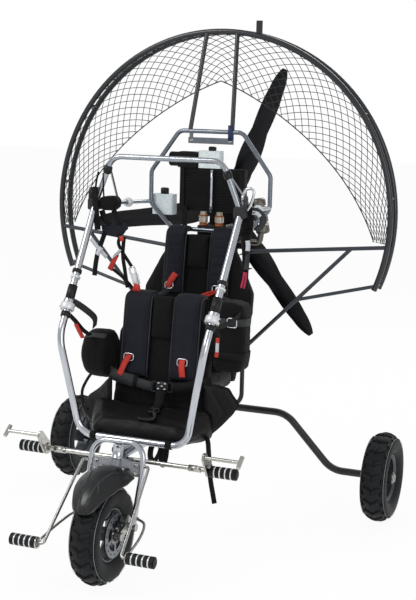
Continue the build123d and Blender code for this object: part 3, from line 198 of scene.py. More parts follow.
def woven(name, warp, weft, thread_mm, relief_mm, **sockets):
    """A weave on all three axes, so that it runs over a cushion's front, sides and top alike"""
    material, tree, shader, where = start_material(name, sockets)
    turn = math.pi * 1000 / thread_mm
    split = add_node(tree, "ShaderNodeSeparateXYZ", {0: where})
    waves = []
    for axis in range(3):
        scaled = add_node(tree, "ShaderNodeMath", {0: split.outputs[axis], 1: turn}, operation="MULTIPLY")
        waves.append(add_node(tree, "ShaderNodeMath", {0: scaled.outputs[0]}, operation="SINE").outputs[0])
    rows = add_node(tree, "ShaderNodeMath", {0: waves[0], 1: waves[1]}, operation="ADD")
    threads = add_node(tree, "ShaderNodeMath", {0: rows.outputs[0], 1: waves[2]}, operation="MULTIPLY")
    cloud = add_node(tree, "ShaderNodeTexNoise", {"Vector": where, "Scale": 18.0, "Detail": 5.0})
    share = add_node(tree, "ShaderNodeMapRange",
        {"Value": cloud.outputs["Fac"], "From Min": 0.3, "From Max": 0.7})
    colour = add_node(tree, "ShaderNodeMix", {"Factor": share.outputs[0], 6: linear(warp), 7: linear(weft)},
        data_type="RGBA")
    tree.links.new(colour.outputs[2], shader.inputs["Base Color"])
    bump = add_node(tree, "ShaderNodeBump", {"Height": threads.outputs[0], "Distance": relief_mm / 1000})
    crumple = add_node(tree, "ShaderNodeBump",
        {"Height": cloud.outputs["Fac"], "Distance": 0.004, "Normal": bump.outputs[0]})
    tree.links.new(crumple.outputs[0], shader.inputs["Normal"])
    return material


# Polished aluminium tube: bright, with long soft highlights and faint handling marks
polished_tube = grained("Polished aluminium tube", "#CDD0D5", "#BABEC5", 30, (0.13, 0.20), 0.004,
    stretch=(1, 1, 0.25), Metallic=1.0)
# Satin anodised tube: the same metal with a matt grey skin
anodised_tube = grained("Satin anodised tube", "#7F858D", "#6E747C", 24, (0.26, 0.36), 0.005, Metallic=1.0)
# Powder-coated steel in dark blue grey: a thick even coat with a slight orange peel
coated_tube = grained("Powder-coated dark steel", "#161A21", "#10141A", 3, (0.26, 0.38), 0.06,
    **{"Coat Weight": 0.25})
# Silver anodised tube of the hoop and keel: brighter than the satin one, with soft edges to its highlights
silver_tube = grained("Silver anodised tube", "#AEB3B9", "#9BA0A7", 24, (0.24, 0.34), 0.005, Metallic=1.0)
# Powder coat of the cage's bars: a lighter slate, dull
slate_tube = grained("Slate powder coat", "#2B323C", "#222830", 3, (0.3, 0.42), 0.06)
# Black painted steel of the posts and axle: matt, a little dusty
painted_steel = grained("Matt black painted steel", "#1D1F22", "#121315", 5, (0.38, 0.5), 0.05)
# Brushed steel of levers and links: fine lines and a grey sheen
brushed_steel = grained("Brushed steel", "#B6B6B4", "#94948F", 4, (0.22, 0.34), 0.02, stretch=(0.12, 1, 1),
    Metallic=1.0)
# Zinc-plated sheet of the fork crown: cool grey, cloudy
zinc_plate = grained("Zinc-plated sheet", "#A2A5AA", "#8E9197", 12, (0.35, 0.5), 0.03, Metallic=0.6)
# Moulded black rubber of the pegs
peg_rubber = grained("Moulded black rubber", "#0D0E11", "#08090B", 3, (0.5, 0.65), 0.10,
    **{"Specular IOR Level": 0.3})
# Cordura of seats and bags: black, matt, a coarse thread drawn at 2 mm so that it shows
black_cordura = woven("Black cordura", "#060608", "#0B0B0D", 2.0, 0.25, Roughness=0.8,
    **{"Sheen Weight": 0.03, "Sheen Roughness": 0.5, "Specular IOR Level": 0.18})
# Coated seat cloth: smoother and a little glossy, as on the pan's front edge
coated_cloth = woven("Black coated cloth", "#050506", "#08080A", 1.6, 0.12, Roughness=0.42,
    **{"Specular IOR Level": 0.22})
# Navy nylon of the shoulder pads: a blue-black with a soft sheen
pad_nylon = woven("Navy padded nylon", "#0B0E18", "#11141F", 1.8, 0.2, Roughness=0.62,
    **{"Sheen Weight": 0.04, "Sheen Roughness": 0.4, "Specular IOR Level": 0.22})
# Polyester webbing: black, grey and red, ribbed across its length
black_webbing = woven("Black webbing", "#08090A", "#0E0E10", 1.7, 0.35, Roughness=0.7,
    **{"Specular IOR Level": 0.22})
grey_webbing = woven("Grey webbing", "#2C2E30", "#393B3D", 1.7, 0.35, Roughness=0.65,
    **{"Specular IOR Level": 0.3})
# Red and crimson dyed webbing of the pulls and lacing
red_webbing = woven("Red webbing", "#B5241C", "#D2382A", 1.7, 0.3, Roughness=0.6)
crimson_tape = woven("Crimson tape", "#A81C40", "#C02A50", 1.5, 0.3, Roughness=0.6)
# Reflective tape: a silver grey weave with a soft shine
silver_tape = woven("Silver tape", "#B9BEC4", "#D2D6DA", 1.6, 0.2, Roughness=0.45)
# Sand-cast aluminium painted black, on the engine
engine_casting = grained("Black painted casting", "#101113", "#0A0B0C", 2, (0.42, 0.58), 0.25,
    **{"Specular IOR Level": 0.35})
# Stamped radiator core, matt black
radiator_core = grained("Matt black radiator", "#08080A", "#050506", 3, (0.55, 0.7), 0.06,
    **{"Specular IOR Level": 0.2})
# Blow-moulded polyethylene of the tanks: milky, lets light through
tank_plastic = grained("Milky polyethylene", "#E3EAEC", "#CBD5D9", 14, (0.32, 0.42), 0.05,
    **{"Subsurface Weight": 0.35, "Subsurface Radius": (0.02, 0.025, 0.03)})
# Machined aluminium couplings, a little warm from heat
coupling_metal = grained("Machined aluminium", "#C9C3B8", "#A59C8C", 5, (0.25, 0.4), 0.03, Metallic=1.0)
# Stainless steel of the silencer, with heat tint
silencer_steel = grained("Stainless silencer", "#8B8883", "#645F58", 16, (0.28, 0.45), 0.04, Metallic=1.0)
# Injection-moulded glossy ABS of the mudguard
glossy_plastic = grained("Satin black ABS", "#101215", "#0B0D0F", 20, (0.30, 0.38), 0.0,
    **{"Coat Weight": 0.15, "Coat Roughness": 0.25, "Specular IOR Level": 0.4})
# The mudguard's creases: pale cords along their edges, a painted highlight where the crease edges catch the
# light
crease_highlight_plastic = grained("Painted crease highlight", "#3A3E42", "#2A2D31", 4, (0.25, 0.4), 0.0)
# Tyre rubber: matt, slightly grey where it has been rolled on
tyre_rubber = grained("Tyre rubber", "#101216", "#0A0C0F", 4, (0.55, 0.7), 0.15,
    **{"Specular IOR Level": 0.3})
# The thin pale line where the tyre's mould parted
tyre_line = grained("Pale moulding line", "#A9ACAF", "#8C8F92", 4, (0.6, 0.75), 0.05)
# Tumbled cast aluminium of the clamp collars, and the darker rims
cast_collar = grained("Tumbled cast collar", "#E4E6E8", "#D2D5D8", 5, (0.3, 0.42), 0.02, Metallic=0.3)
cast_rim = grained("Cast aluminium rim", "#63676C", "#474B50", 3, (0.35, 0.5), 0.08, Metallic=0.9)
# Ground steel of the brake disc: grey with a faint shine
disc_steel = grained("Ground brake steel", "#7F8287", "#64676C", 3, (0.25, 0.4), 0.02, Metallic=1.0)
# Carbon composite blade: black, waxed
carbon_blade = grained("Black carbon composite", "#08090F", "#05060B", 30, (0.28, 0.36), 0.0,
    **{"Specular IOR Level": 0.25})
# Machined hub with a dark finish
hub_metal = grained("Dark machined hub", "#4A4D52", "#35383C", 5, (0.3, 0.42), 0.03, Metallic=1.0)
# Braided nylon of the propeller net
net_cord = grained("Dark netting cord", "#1D2226", "#14181B", 2, (0.6, 0.75), 0.1)
# Nickel-plated steel of levers, nuts and clamps: bright, slightly warm
polished_nickel = grained("Polished nickel plate", "#C6C5C0", "#A9A8A2", 18, (0.16, 0.28), 0.004,
    Metallic=1.0)
# Bare turned rings on the pegs: nearly white in the light
bright_ring = grained("Bright aluminium ring", "#E6E8EA", "#D2D5D8", 12, (0.22, 0.34), 0.004, Metallic=0.5)
# Oiled pleats of the air filter: black, no shine
filter_foam = grained("Black pleated filter", "#141416", "#0B0B0C", 2, (0.6, 0.8), 0.1)
# The blue grip at the end of the cross plate
blue_rubber = grained("Dark blue rubber grip", "#1B2A5C", "#142048", 4, (0.45, 0.6), 0.05)
# Moulded parts: black with a dull shine, and their white and red kinds below
black_plastic = grained("Black moulded plastic", "#0E0F11", "#08090A", 6, (0.35, 0.5), 0.05,
    **{"Specular IOR Level": 0.35})
white_plastic = grained("White moulded plastic", "#DADDDF", "#C3C7CA", 8, (0.35, 0.5), 0.03)
# Chromed buckles and frames: a sharp bright reflection
bright_buckle = grained("Chromed buckle", "#D5D7DA", "#B5B8BC", 5, (0.12, 0.22), 0.01, Metallic=1.0)
red_plastic = grained("Red moulded plastic", "#C22A1E", "#A81F16", 6, (0.35, 0.5), 0.03)
# Orange silicone of the seals: waxy
seal_rubber = grained("Orange silicone seal", "#B4632A", "#8F4A1E", 4, (0.45, 0.6), 0.05)

NODE_FINISHES = {polished_tube: ("front_loop", "loop_uppers", "loop_collars", "fork_loop"),
    silver_tube: ("top_hoop", "hang_bars", "keel"), anodised_tube: ("octagon_hoop",),
    coated_tube: ("cage_hoop", "cage_spacers", "cage_struts"),
    slate_tube: ("radial_bars", "diagonal_struts"),
    painted_steel: ("engine_posts", "rear_axle", "hang_lugs"),
    brushed_steel: ("fork_links", "front_axle", "peg_rods"),
    polished_nickel: ("peg_crossbar", "pedal_levers"), zinc_plate: ("fork_crown",),
    peg_rubber: ("upper_pegs", "steering_pegs"),
    black_cordura: ("front_seat", "rear_seat", "side_pouch", "side_bag"),
    pad_nylon: ("front_pads", "rear_pads"), engine_casting: ("engine",), radiator_core: ("radiator",),
    tank_plastic: ("coolant_tanks",), coupling_metal: ("coolant_fittings",), silencer_steel: ("silencer",),
    glossy_plastic: ("mudguard",), tyre_rubber: ("tyre_front", "tyre_rear_left", "tyre_rear_right"),
    cast_rim: ("rim_front", "rim_rear_left", "rim_rear_right"), disc_steel: ("brake_disc",),
    carbon_blade: ("prop_blades",), hub_metal: ("prop_hub",)}


# Ways of making meshes


def linked(name, data):
    """A new object at the origin, linked to the scene"""
    piece = bpy.data.objects.new(name, data)
    bpy.context.scene.collection.objects.link(piece)
    return piece


def mesh_piece(name, points, faces, material):
    """A smooth shaded mesh object"""
    mesh = bpy.data.meshes.new(name)
    mesh.from_pydata([tuple(point) for point in points], [], faces)
    mesh.materials.append(material)
    mesh.shade_smooth()
    return linked(name, mesh)


def settle(piece, body, slot, *nodes):
    """Lets a finished piece ride on its body, in place of CAD nodes. Its slot is not used"""
    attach(piece, body)
    if nodes:
        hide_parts(*nodes)
    return piece


def outward(piece):
    """Merges doubles and turns all faces out"""
    shell = bmesh.new()
    shell.from_mesh(piece.data)
    bmesh.ops.remove_doubles(shell, verts=shell.verts, dist=1e-6)
    bmesh.ops.recalc_face_normals(shell, faces=shell.faces)
    shell.to_mesh(piece.data)
    shell.free()
    return piece


def bands(loops, count, closed=False):
    """Faces between loops of points, each loop of so many points, that follow one another"""
    faces = []
    for number in range(loops if closed else loops - 1):
        here = number * count
        following = (number + 1) % loops * count
        for step in range(count):
            after = (step + 1) % count
            faces.append((here + step, here + after, following + after, following + step))
    return faces


def turned(name, profile, centre, axis, material, sides=48):
    """A lathed piece: profile points are (along the axis, out from it), closed round"""
    axis = Vector(axis).normalized()
    across = axis.orthogonal().normalized()
    up = axis.cross(across)
    points = []
    for angle in full_turn(sides):
        out = across * math.cos(angle) + up * math.sin(angle)
        points += [Vector(centre) + axis * along + out * radius for along, radius in profile]
    return outward(mesh_piece(name, points, bands(sides, len(profile), True), material))


def plain_ring(name, inner, outer, length, centre, axis, material, sides=32):
    """A ring along an axis from its centre. Six sides make a nut"""
    return turned(name, [(0, inner), (0, outer), (length, outer), (length, inner)], centre, axis, material,
        sides)


def smooth_path(points, steps=6):
    """Points along a curve that passes through every given point"""
    points = [Vector(point) for point in points]
    ends = [2 * points[0] - points[1]] + points + [2 * points[-1] - points[-2]]
    path = []
    for before, start, end, after in zip(ends, ends[1:], ends[2:], ends[3:]):
        for step in range(steps):
            t = step / steps
            first = (end - before) * t
            second = (2 * before - 5 * start + 4 * end - after) * t ** 2
            third = (3 * start - before - 3 * end + after) * t ** 3
            path.append(0.5 * (2 * start + first + second + third))
    path.append(points[-1])
    return path


def swept(name, path, section, across, material, closed=False):
    """A section of (across, up) points carried along a path. across gives the section's X direction"""
    points = []
    count = len(section)
    total = len(path)
    side = Vector(across)
    for number, point in enumerate(path):
        before = path[number - 1] if number or closed else point
        after = path[(number + 1) % total] if number + 1 < total or closed else point
        tangent = (after - before).normalized()
        side = (side - tangent * side.dot(tangent)).normalized()
        up = tangent.cross(side)
        points += [point + side * x + up * y for x, y in section]
    faces = bands(total, count, closed)
    if not closed:
        faces += [tuple(range(count)), tuple(range((total - 1) * count, total * count))]
    return outward(mesh_piece(name, points, faces, material))


def ring(radius, sides=8):
    """A round section"""
    return [(radius * math.cos(angle), radius * math.sin(angle)) for angle in full_turn(sides)]


def strap(name, points, width, across, material, thickness=0.0024, steps=8):
    """Flat webbing along a smooth path, with its width along the given direction"""
    half = width / 2
    section = [(-half, -thickness / 2), (half, -thickness / 2), (half, thickness / 2),
        (-half, thickness / 2)]
    return swept(name, smooth_path(points, steps), section, across, material)


def fitted(name, pieces, slot, body="frame", *nodes):
    """Several finished pieces as one that rides on a body"""
    return settle(joined(name, pieces), body, slot, *nodes)


def straps(name, rows):
    """Straps on the frame as one piece, from rows as strap() takes them"""
    fitted(name, [strap("strap", *row) for row in rows], "textile")


def joined(name, pieces):
    """Several mesh pieces as one"""
    shell = bmesh.new()
    materials = []
    for piece in pieces:
        start = len(shell.faces)
        shell.from_mesh(piece.data)
        shell.faces.ensure_lookup_table()
        for material in piece.data.materials:
            if material not in materials:
                materials.append(material)
        for face in shell.faces[start:]:
            face.material_index = materials.index(piece.data.materials[face.material_index])
    mesh = bpy.data.meshes.new(name)
    shell.to_mesh(mesh)
    shell.free()
    for material in materials:
        mesh.materials.append(material)
    for piece in pieces:
        bpy.data.objects.remove(piece)
    return linked(name, mesh)


def grown(name, source, build, sizes):
    """Runs a node tree on a piece, with its sizes as named inputs, and keeps the result as a plain mesh"""
    tree = bpy.data.node_groups.new(name, "GeometryNodeTree")
    tree.interface.new_socket("Geometry", in_out="INPUT", socket_type="NodeSocketGeometry")
    tree.interface.new_socket("Geometry", in_out="OUTPUT", socket_type="NodeSocketGeometry")
    kinds = {int: "NodeSocketInt", float: "NodeSocketFloat", bpy.types.Object: "NodeSocketObject",
        bpy.types.Material: "NodeSocketMaterial"}
    sockets = {key: tree.interface.new_socket(key, in_out="INPUT", socket_type=kinds[type(value)])
        for key, value in sizes.items()}
    entry = add_node(tree, "NodeGroupInput")
    result = build(tree, entry.outputs)
    solid = add_node(tree, "GeometryNodeRealizeInstances", {"Geometry": result})
    painted = add_node(tree, "GeometryNodeSetMaterial",
        {"Geometry": solid.outputs[0], "Material": entry.outputs["Material"]})
    add_node(tree, "NodeGroupOutput", {"Geometry": painted.outputs[0]})
    modifier = source.modifiers.new(name, "NODES")
    modifier.node_group = tree
    for key, value in sizes.items():
        modifier[sockets[key].identifier] = value
    bpy.context.view_layer.update()
    mesh = bpy.data.meshes.new_from_object(source.evaluated_get(bpy.context.evaluated_depsgraph_get()))
    source.modifiers.remove(modifier)
    bpy.data.objects.remove(source)
    mesh.name = name
    mesh.shade_smooth()
    return linked(name, mesh)


def path_curve(name, paths):
    """Curves of straight runs, one for each list of points, as the source of a node tree"""
    curve = bpy.data.curves.new(name, "CURVE")
    curve.dimensions = "3D"
    for points in paths:
        spline = curve.splines.new("POLY")
        spline.points.add(len(points) - 1)
        for knot, point in zip(spline.points, points):
            knot.co = (*point, 1.0)
    return linked(name, curve)


def cords_tree(tree, entry):
    """Round cords along the source's curves"""
    section = add_node(tree, "GeometryNodeCurvePrimitiveCircle",
        {"Resolution": 5, "Radius": entry["Cord radius"]})
    return add_node(tree, "GeometryNodeCurveToMesh",
        {"Curve": entry["Geometry"], "Profile Curve": section.outputs[0], "Fill Caps": True}).outputs[0]


def wheel_tree(tree, entry):
    """Copies of one lug, rib or pleat round the X axis"""
    spots = add_node(tree, "GeometryNodeMeshLine", {"Count": entry["Count"], "Offset": (0, 0, 0)})
    step = add_node(tree, "ShaderNodeMath", {0: 2 * math.pi, 1: entry["Count"]}, operation="DIVIDE")
    number = add_node(tree, "GeometryNodeInputIndex")
    turn = add_node(tree, "ShaderNodeMath", {0: number.outputs[0], 1: step.outputs[0]},
        operation="MULTIPLY")
    rotation = add_node(tree, "ShaderNodeCombineXYZ", {"X": turn.outputs[0]})
    lug = add_node(tree, "GeometryNodeObjectInfo", {"Object": entry["Lug"]})
    copies = add_node(tree, "GeometryNodeInstanceOnPoints",
        {"Points": spots.outputs[0], "Instance": lug.outputs["Geometry"], "Rotation": rotation.outputs[0]})
    return copies.outputs[0]


def spun(name, one, count):
    """Copies of one mesh piece round the X axis. The one itself is used up"""
    material = one.data.materials[0]
    source = mesh_piece(name + "_spot", [(0, 0, 0)], [], material)
    copies = grown(name, source, wheel_tree, {"Count": count, "Lug": one, "Material": material})
    bpy.data.objects.remove(one)
    return copies


# Places on the two leaning seat backs, and ways of making stuffed and sewn pieces

SEAT_LEAN = math.radians(8)
UP_BACK = Vector((0, math.sin(SEAT_LEAN), math.cos(SEAT_LEAN)))
OUT_OF_BACK = Vector((0, -math.cos(SEAT_LEAN), math.sin(SEAT_LEAN)))
BACK_FOOT = {"front": place(0, 455, 481.3), "rear": place(0, 792, 620.3)}


def on_back(seat, across, up, out):
    """A point on a seat's back from millimetres: sideways, up the slope, and out towards the sitter"""
    return BACK_FOOT[seat] + Vector((across / 1000, 0, 0)) + UP_BACK * up / 1000 + OUT_OF_BACK * out / 1000


def on_backs(seat, *rows):
    """Points from rows of millimetres, each as on_back() takes them"""
    return [on_back(seat, *row) for row in rows]


def skinned(name, loops, material):
    """A closed form over loops of points, one after another, with both ends capped"""
    count = len(loops[0])
    faces = bands(len(loops), count)
    faces += [tuple(range(count)), tuple(range((len(loops) - 1) * count, len(loops) * count))]
    return outward(mesh_piece(name, [point for loop in loops for point in loop], faces, material))


def slab(name, outline, layers, material):
    """A flat form: its outline of (sideways, up) millimetres at each place behind the front axle"""
    return skinned(name, [[place(x, behind, z) for x, z in outline] for behind in layers], material)


CLOTH_FRAMES = 20


def filled(piece, voxel, pressure, cap_mm):
    """Makes stuffed cloth of a closed form: an even grid, blown up, with no point moved past the cap"""
    scene = bpy.context.scene
    grid = piece.modifiers.new("Grid", "REMESH")
    grid.mode = "VOXEL"
    grid.voxel_size = voxel
    grid.use_smooth_shade = True
    bpy.context.view_layer.update()
    mesh = bpy.data.meshes.new_from_object(piece.evaluated_get(bpy.context.evaluated_depsgraph_get()))
    piece.modifiers.remove(grid)
    piece.data = mesh
    filling = piece.modifiers.new("Filling", "CLOTH")
    cloth = filling.settings
    cloth.quality = 4
    cloth.mass = 0.3
    cloth.tension_stiffness = 12
    cloth.compression_stiffness = 12
    cloth.shear_stiffness = 5
    cloth.bending_stiffness = 0.6
    cloth.use_pressure = True
    cloth.uniform_pressure_force = pressure
    cloth.effector_weights.gravity = 0
    filling.point_cache.frame_start = 1
    filling.point_cache.frame_end = CLOTH_FRAMES
    for number in range(1, CLOTH_FRAMES + 1):
        scene.frame_set(number)
    blown = piece.evaluated_get(bpy.context.evaluated_depsgraph_get()).to_mesh()
    moves = [after.co - before.co for after, before in zip(blown.vertices, mesh.vertices)]
    piece.modifiers.remove(filling)
    scene.frame_set(1)
    for vertex, move in zip(mesh.vertices, moves):
        vertex.co += move * min(1.0, cap_mm / 1000 / max(move.length, 1e-9))
    mesh.update()
    return piece


def sewn(piece, seams, depth_mm, reach_mm):
    """Pulls the cloth in along seams, each a row of points near its surface"""
    depth = depth_mm / 1000
    reach = reach_mm / 1000
    runs = [(start, end - start) for seam in seams for start, end in zip(seam, seam[1:])]
    moved = []
    for vertex in piece.data.vertices:
        nearest = min(((vertex.co - start - run * min(1,
                        max(0, (vertex.co - start).dot(run) / run.dot(run)))).length
                for start, run in runs))
        if nearest < reach:
            moved.append((vertex, vertex.normal * depth * (1 - (nearest / reach) ** 2) ** 2))
    for vertex, move in moved:
        vertex.co -= move
    piece.data.update()
    return piece


def softened(piece):
    """One level of subdivision, the same in view and render"""
    smooth = piece.modifiers.new("Smooth", "SUBSURF")
    smooth.levels = 1
    smooth.render_levels = 1
    piece.data.shade_smooth()
    return piece


def shrunk(outline, inset):
    """An outline of (across, up) points drawn in by a distance towards its middle height"""
    middle = (max(up for _, up in outline) + min(up for _, up in outline)) / 2
    return [(x - math.copysign(min(inset, abs(x)), x), up - math.copysign(inset, up - middle))
        for x, up in outline]


def laid(whole, points, lift=0.001):
    """The points drawn onto the nearest place of a finished cloth, a little off it"""
    surface = BVHTree.FromObject(whole, bpy.context.evaluated_depsgraph_get())
    spots = []
    for point in points:
        spot, normal, _, _ = surface.find_nearest(point)
        spots.append(spot + normal * lift)
    return spots


def both_sides(half):
    """A closed outline from the points of its right half, top to bottom"""
    return half + [(-x, up) for x, up in reversed(half)]


def divided(outline, step=60):
    """An outline with points added so that no run is longer than a step"""
    result = []
    for start, end in zip(outline, outline[1:] + outline[:1]):
        count = max(1, round(math.dist(start, end) / step))
        result += [(start[0] + (end[0] - start[0]) * n / count, start[1] + (end[1] - start[1]) * n / count)
            for n in range(count)]
    return result


def stitch_tree(tree, entry):
    """Short threads end to end along the source's curves"""
    spots = add_node(tree, "GeometryNodeCurveToPoints",
        {"Curve": entry["Geometry"], "Length": entry["Pitch"]}, mode="LENGTH")
    thread = add_node(tree, "GeometryNodeMeshCylinder",
        {"Vertices": 5, "Radius": entry["Thread radius"], "Depth": entry["Thread length"]},
        fill_type="NGON")
    copies = add_node(tree, "GeometryNodeInstanceOnPoints", {"Points": spots.outputs["Points"],
            "Instance": thread.outputs["Mesh"], "Rotation": spots.outputs["Rotation"]})
    return copies.outputs[0]


def bolts(name, spots, head, material):
    """Bolts at (place, direction) spots, with heads of a radius in metres"""
    points, faces = [], []
    for spot, way in spots:
        way = Vector(way).normalized()
        side = way.orthogonal().normalized() * 1e-5
        up = way.cross(side)
        points += [spot + side, spot + up, spot - side - up]
        faces.append((len(points) - 3, len(points) - 2, len(points) - 1))
    return grown(name, mesh_piece(name + "_spots", points, faces, material), face_bolt_tree,
        {"Washer radius": head * 1.45, "Washer depth": head * 0.35, "Head radius": head,
            "Head depth": head * 1.3, "Material": material})


def face_bolt_tree(tree, entry):
    """Bolts on the middles of the source's tiny faces, along their normals"""
    normal = add_node(tree, "GeometryNodeInputNormal")
    kept = add_node(tree, "GeometryNodeCaptureAttribute", {"Geometry": entry["Geometry"]}, domain="FACE")
    kept.capture_items.new("VECTOR", "Facing")
    tree.links.new(normal.outputs[0], kept.inputs[1])
    spots = add_node(tree, "GeometryNodeMeshToPoints", {"Mesh": kept.outputs[0]}, mode="FACES")
    washer = add_node(tree, "GeometryNodeMeshCylinder",
        {"Vertices": 20, "Radius": entry["Washer radius"], "Depth": entry["Washer depth"]})
    hexagon = add_node(tree, "GeometryNodeMeshCylinder",
        {"Vertices": 6, "Radius": entry["Head radius"], "Depth": entry["Head depth"]})
    lift = add_node(tree, "ShaderNodeMath", {0: entry["Head depth"], 1: 0.5}, operation="MULTIPLY")
    rise = add_node(tree, "ShaderNodeCombineXYZ", {"Z": lift.outputs[0]})
    raised = add_node(tree, "GeometryNodeTransform",
        {"Geometry": hexagon.outputs["Mesh"], "Translation": rise.outputs[0]})
    bolt = add_node(tree, "GeometryNodeJoinGeometry", {"Geometry": raised.outputs[0]})
    tree.links.new(washer.outputs["Mesh"], bolt.inputs["Geometry"])
    turn = add_node(tree, "FunctionNodeAlignRotationToVector", {"Vector": kept.outputs[1]}, axis="Z")
    copies = add_node(tree, "GeometryNodeInstanceOnPoints",
        {"Points": spots.outputs[0], "Instance": bolt.outputs[0], "Rotation": turn.outputs[0]})
    return copies.outputs[0]


# From 0, a sharp rectangle, to 1, an ellipse
FRAME_ROUNDING = 0.45


def closed_frame(name, centre, side, up, width, height, thickness, material):
    """A rectangular metal frame, such as a strap's ladder lock or slider"""
    side = Vector(side).normalized()
    up = Vector(up).normalized()
    path = []
    for angle in full_turn(24):
        x = math.copysign(abs(math.cos(angle)) ** FRAME_ROUNDING, math.cos(angle)) * width / 2
        y = math.copysign(abs(math.sin(angle)) ** FRAME_ROUNDING, math.sin(angle)) * height / 2
        path.append(Vector(centre) + side * x + up * y)
    return swept(name, path, ring(thickness / 2, 6), side.cross(up), material, closed=True)


def round_rod(name, points, radius, material, steps=6, sides=10):
    """A round rod or cord along a smooth path"""
    path = smooth_path(points, steps)
    across = (path[1] - path[0]).orthogonal()
    return swept(name, path, ring(radius, sides), across, material)


# The share of plain white in the floor as the camera sees it. The rest keeps the trike's shadow
FLOOR_GLOW = 0.94


class TRIKE_OT_stage(bpy.types.Operator):
    """Camera, lights, world and the pale floor"""
    bl_idname = "trike.stage"
    bl_label = "Stage"

    def execute(self, context):
        sizes = context.scene.trike_stage
        turn, tilt, roll = sizes.camera_turn
        ahead = Vector((-math.sin(turn) * math.cos(tilt), math.cos(turn) * math.cos(tilt), -math.sin(tilt)))
        level = Vector((math.cos(turn), math.sin(turn), 0))
        up = level.cross(ahead)
        camera_data = bpy.data.cameras.new("Photo view")
        camera_data.lens = sizes.lens
        camera_data.sensor_width = 36
        camera_data.sensor_fit = "AUTO"
        camera_data.shift_x = 0.0025
        camera_data.shift_y = 0.0003
        camera = linked("Photo view", camera_data)
        right = level * math.cos(roll) + up * math.sin(roll)
        top = up * math.cos(roll) - level * math.sin(roll)
        camera.matrix_world = Matrix.Translation(sizes.camera_place) @ Matrix(
            ((right.x, top.x, -ahead.x), (right.y, top.y, -ahead.y), (right.z, top.z, -ahead.z))).to_4x4()
        context.scene.camera = camera
        context.scene.view_settings.view_transform = "Standard"

        half = sizes.floor_size / 2
        floor_finish, tree, shader, _ = start_material("Pale studio floor",
            {"Base Color": (*sizes.floor_colour, 1.0), "Roughness": 0.9})
        rays = add_node(tree, "ShaderNodeLightPath")
        direct = add_node(tree, "ShaderNodeMath",
            {0: rays.outputs["Is Camera Ray"], 1: rays.outputs["Is Glossy Ray"]}, operation="MAXIMUM")
        seen = add_node(tree, "ShaderNodeMath",
            {0: direct.outputs[0], 1: rays.outputs["Is Transmission Ray"]}, operation="MAXIMUM")
        share = add_node(tree, "ShaderNodeMath", {0: seen.outputs[0], 1: FLOOR_GLOW}, operation="MULTIPLY")
        glow = add_node(tree, "ShaderNodeEmission", {"Color": (1, 1, 1, 1), "Strength": 1.0})
        blend = add_node(tree, "ShaderNodeMixShader",
            {"Fac": share.outputs[0], 1: shader.outputs[0], 2: glow.outputs[0]})
        ending = next(node for node in tree.nodes if node.type == "OUTPUT_MATERIAL")
        tree.links.new(blend.outputs[0], ending.inputs["Surface"])
        floor = mesh_piece("floor",
            [(-half, -half, 0), (half, -half, 0), (half, half, 0), (-half, half, 0)], [(0, 1, 2, 3)],
            floor_finish)

        world = bpy.data.worlds.new("Soft studio")
        context.scene.world = world
        world.use_nodes = True
        sky = world.node_tree
        sky.nodes.clear()
        rays = add_node(sky, "ShaderNodeLightPath")
        direct = add_node(sky, "ShaderNodeMath",
            {0: rays.outputs["Is Camera Ray"], 1: rays.outputs["Is Transmission Ray"]}, operation="MAXIMUM")
        strength = add_node(sky, "ShaderNodeMapRange",
            {"Value": direct.outputs[0], "To Min": 0.62, "To Max": 1.0})
        light = add_node(sky, "ShaderNodeBackground",
            {"Color": (1, 1, 1, 1), "Strength": strength.outputs[0]})
        add_node(sky, "ShaderNodeOutputWorld", {"Surface": light.outputs[0]})

        lamps = (("Key", (-3.2, -3.6, 5.2), 2.4, 150), ("Fill", (4.0, -3.0, 2.6), 3.0, 55),
            ("Rim", (0.5, 4.2, 4.0), 2.6, 70))
        for name, spot, size, power in lamps:
            lamp_data = bpy.data.lights.new(name, "AREA")
            lamp_data.size = size
            lamp_data.energy = power
            lamp = linked(name, lamp_data)
            lamp.location = spot
            lamp.rotation_euler = (Vector((0, 0, 1.0)) - Vector(spot)).to_track_quat("-Z", "Y").to_euler()
        return {"FINISHED"}


class TRIKE_OT_finishes(bpy.types.Operator):
    """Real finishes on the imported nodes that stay"""
    bl_idname = "trike.finishes"
    bl_label = "Finishes"

    def execute(self, context):
        for material, names in NODE_FINISHES.items():
            for name in names:
                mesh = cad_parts[name].data
                mesh.materials.clear()
                mesh.materials.append(material)
        return {"FINISHED"}


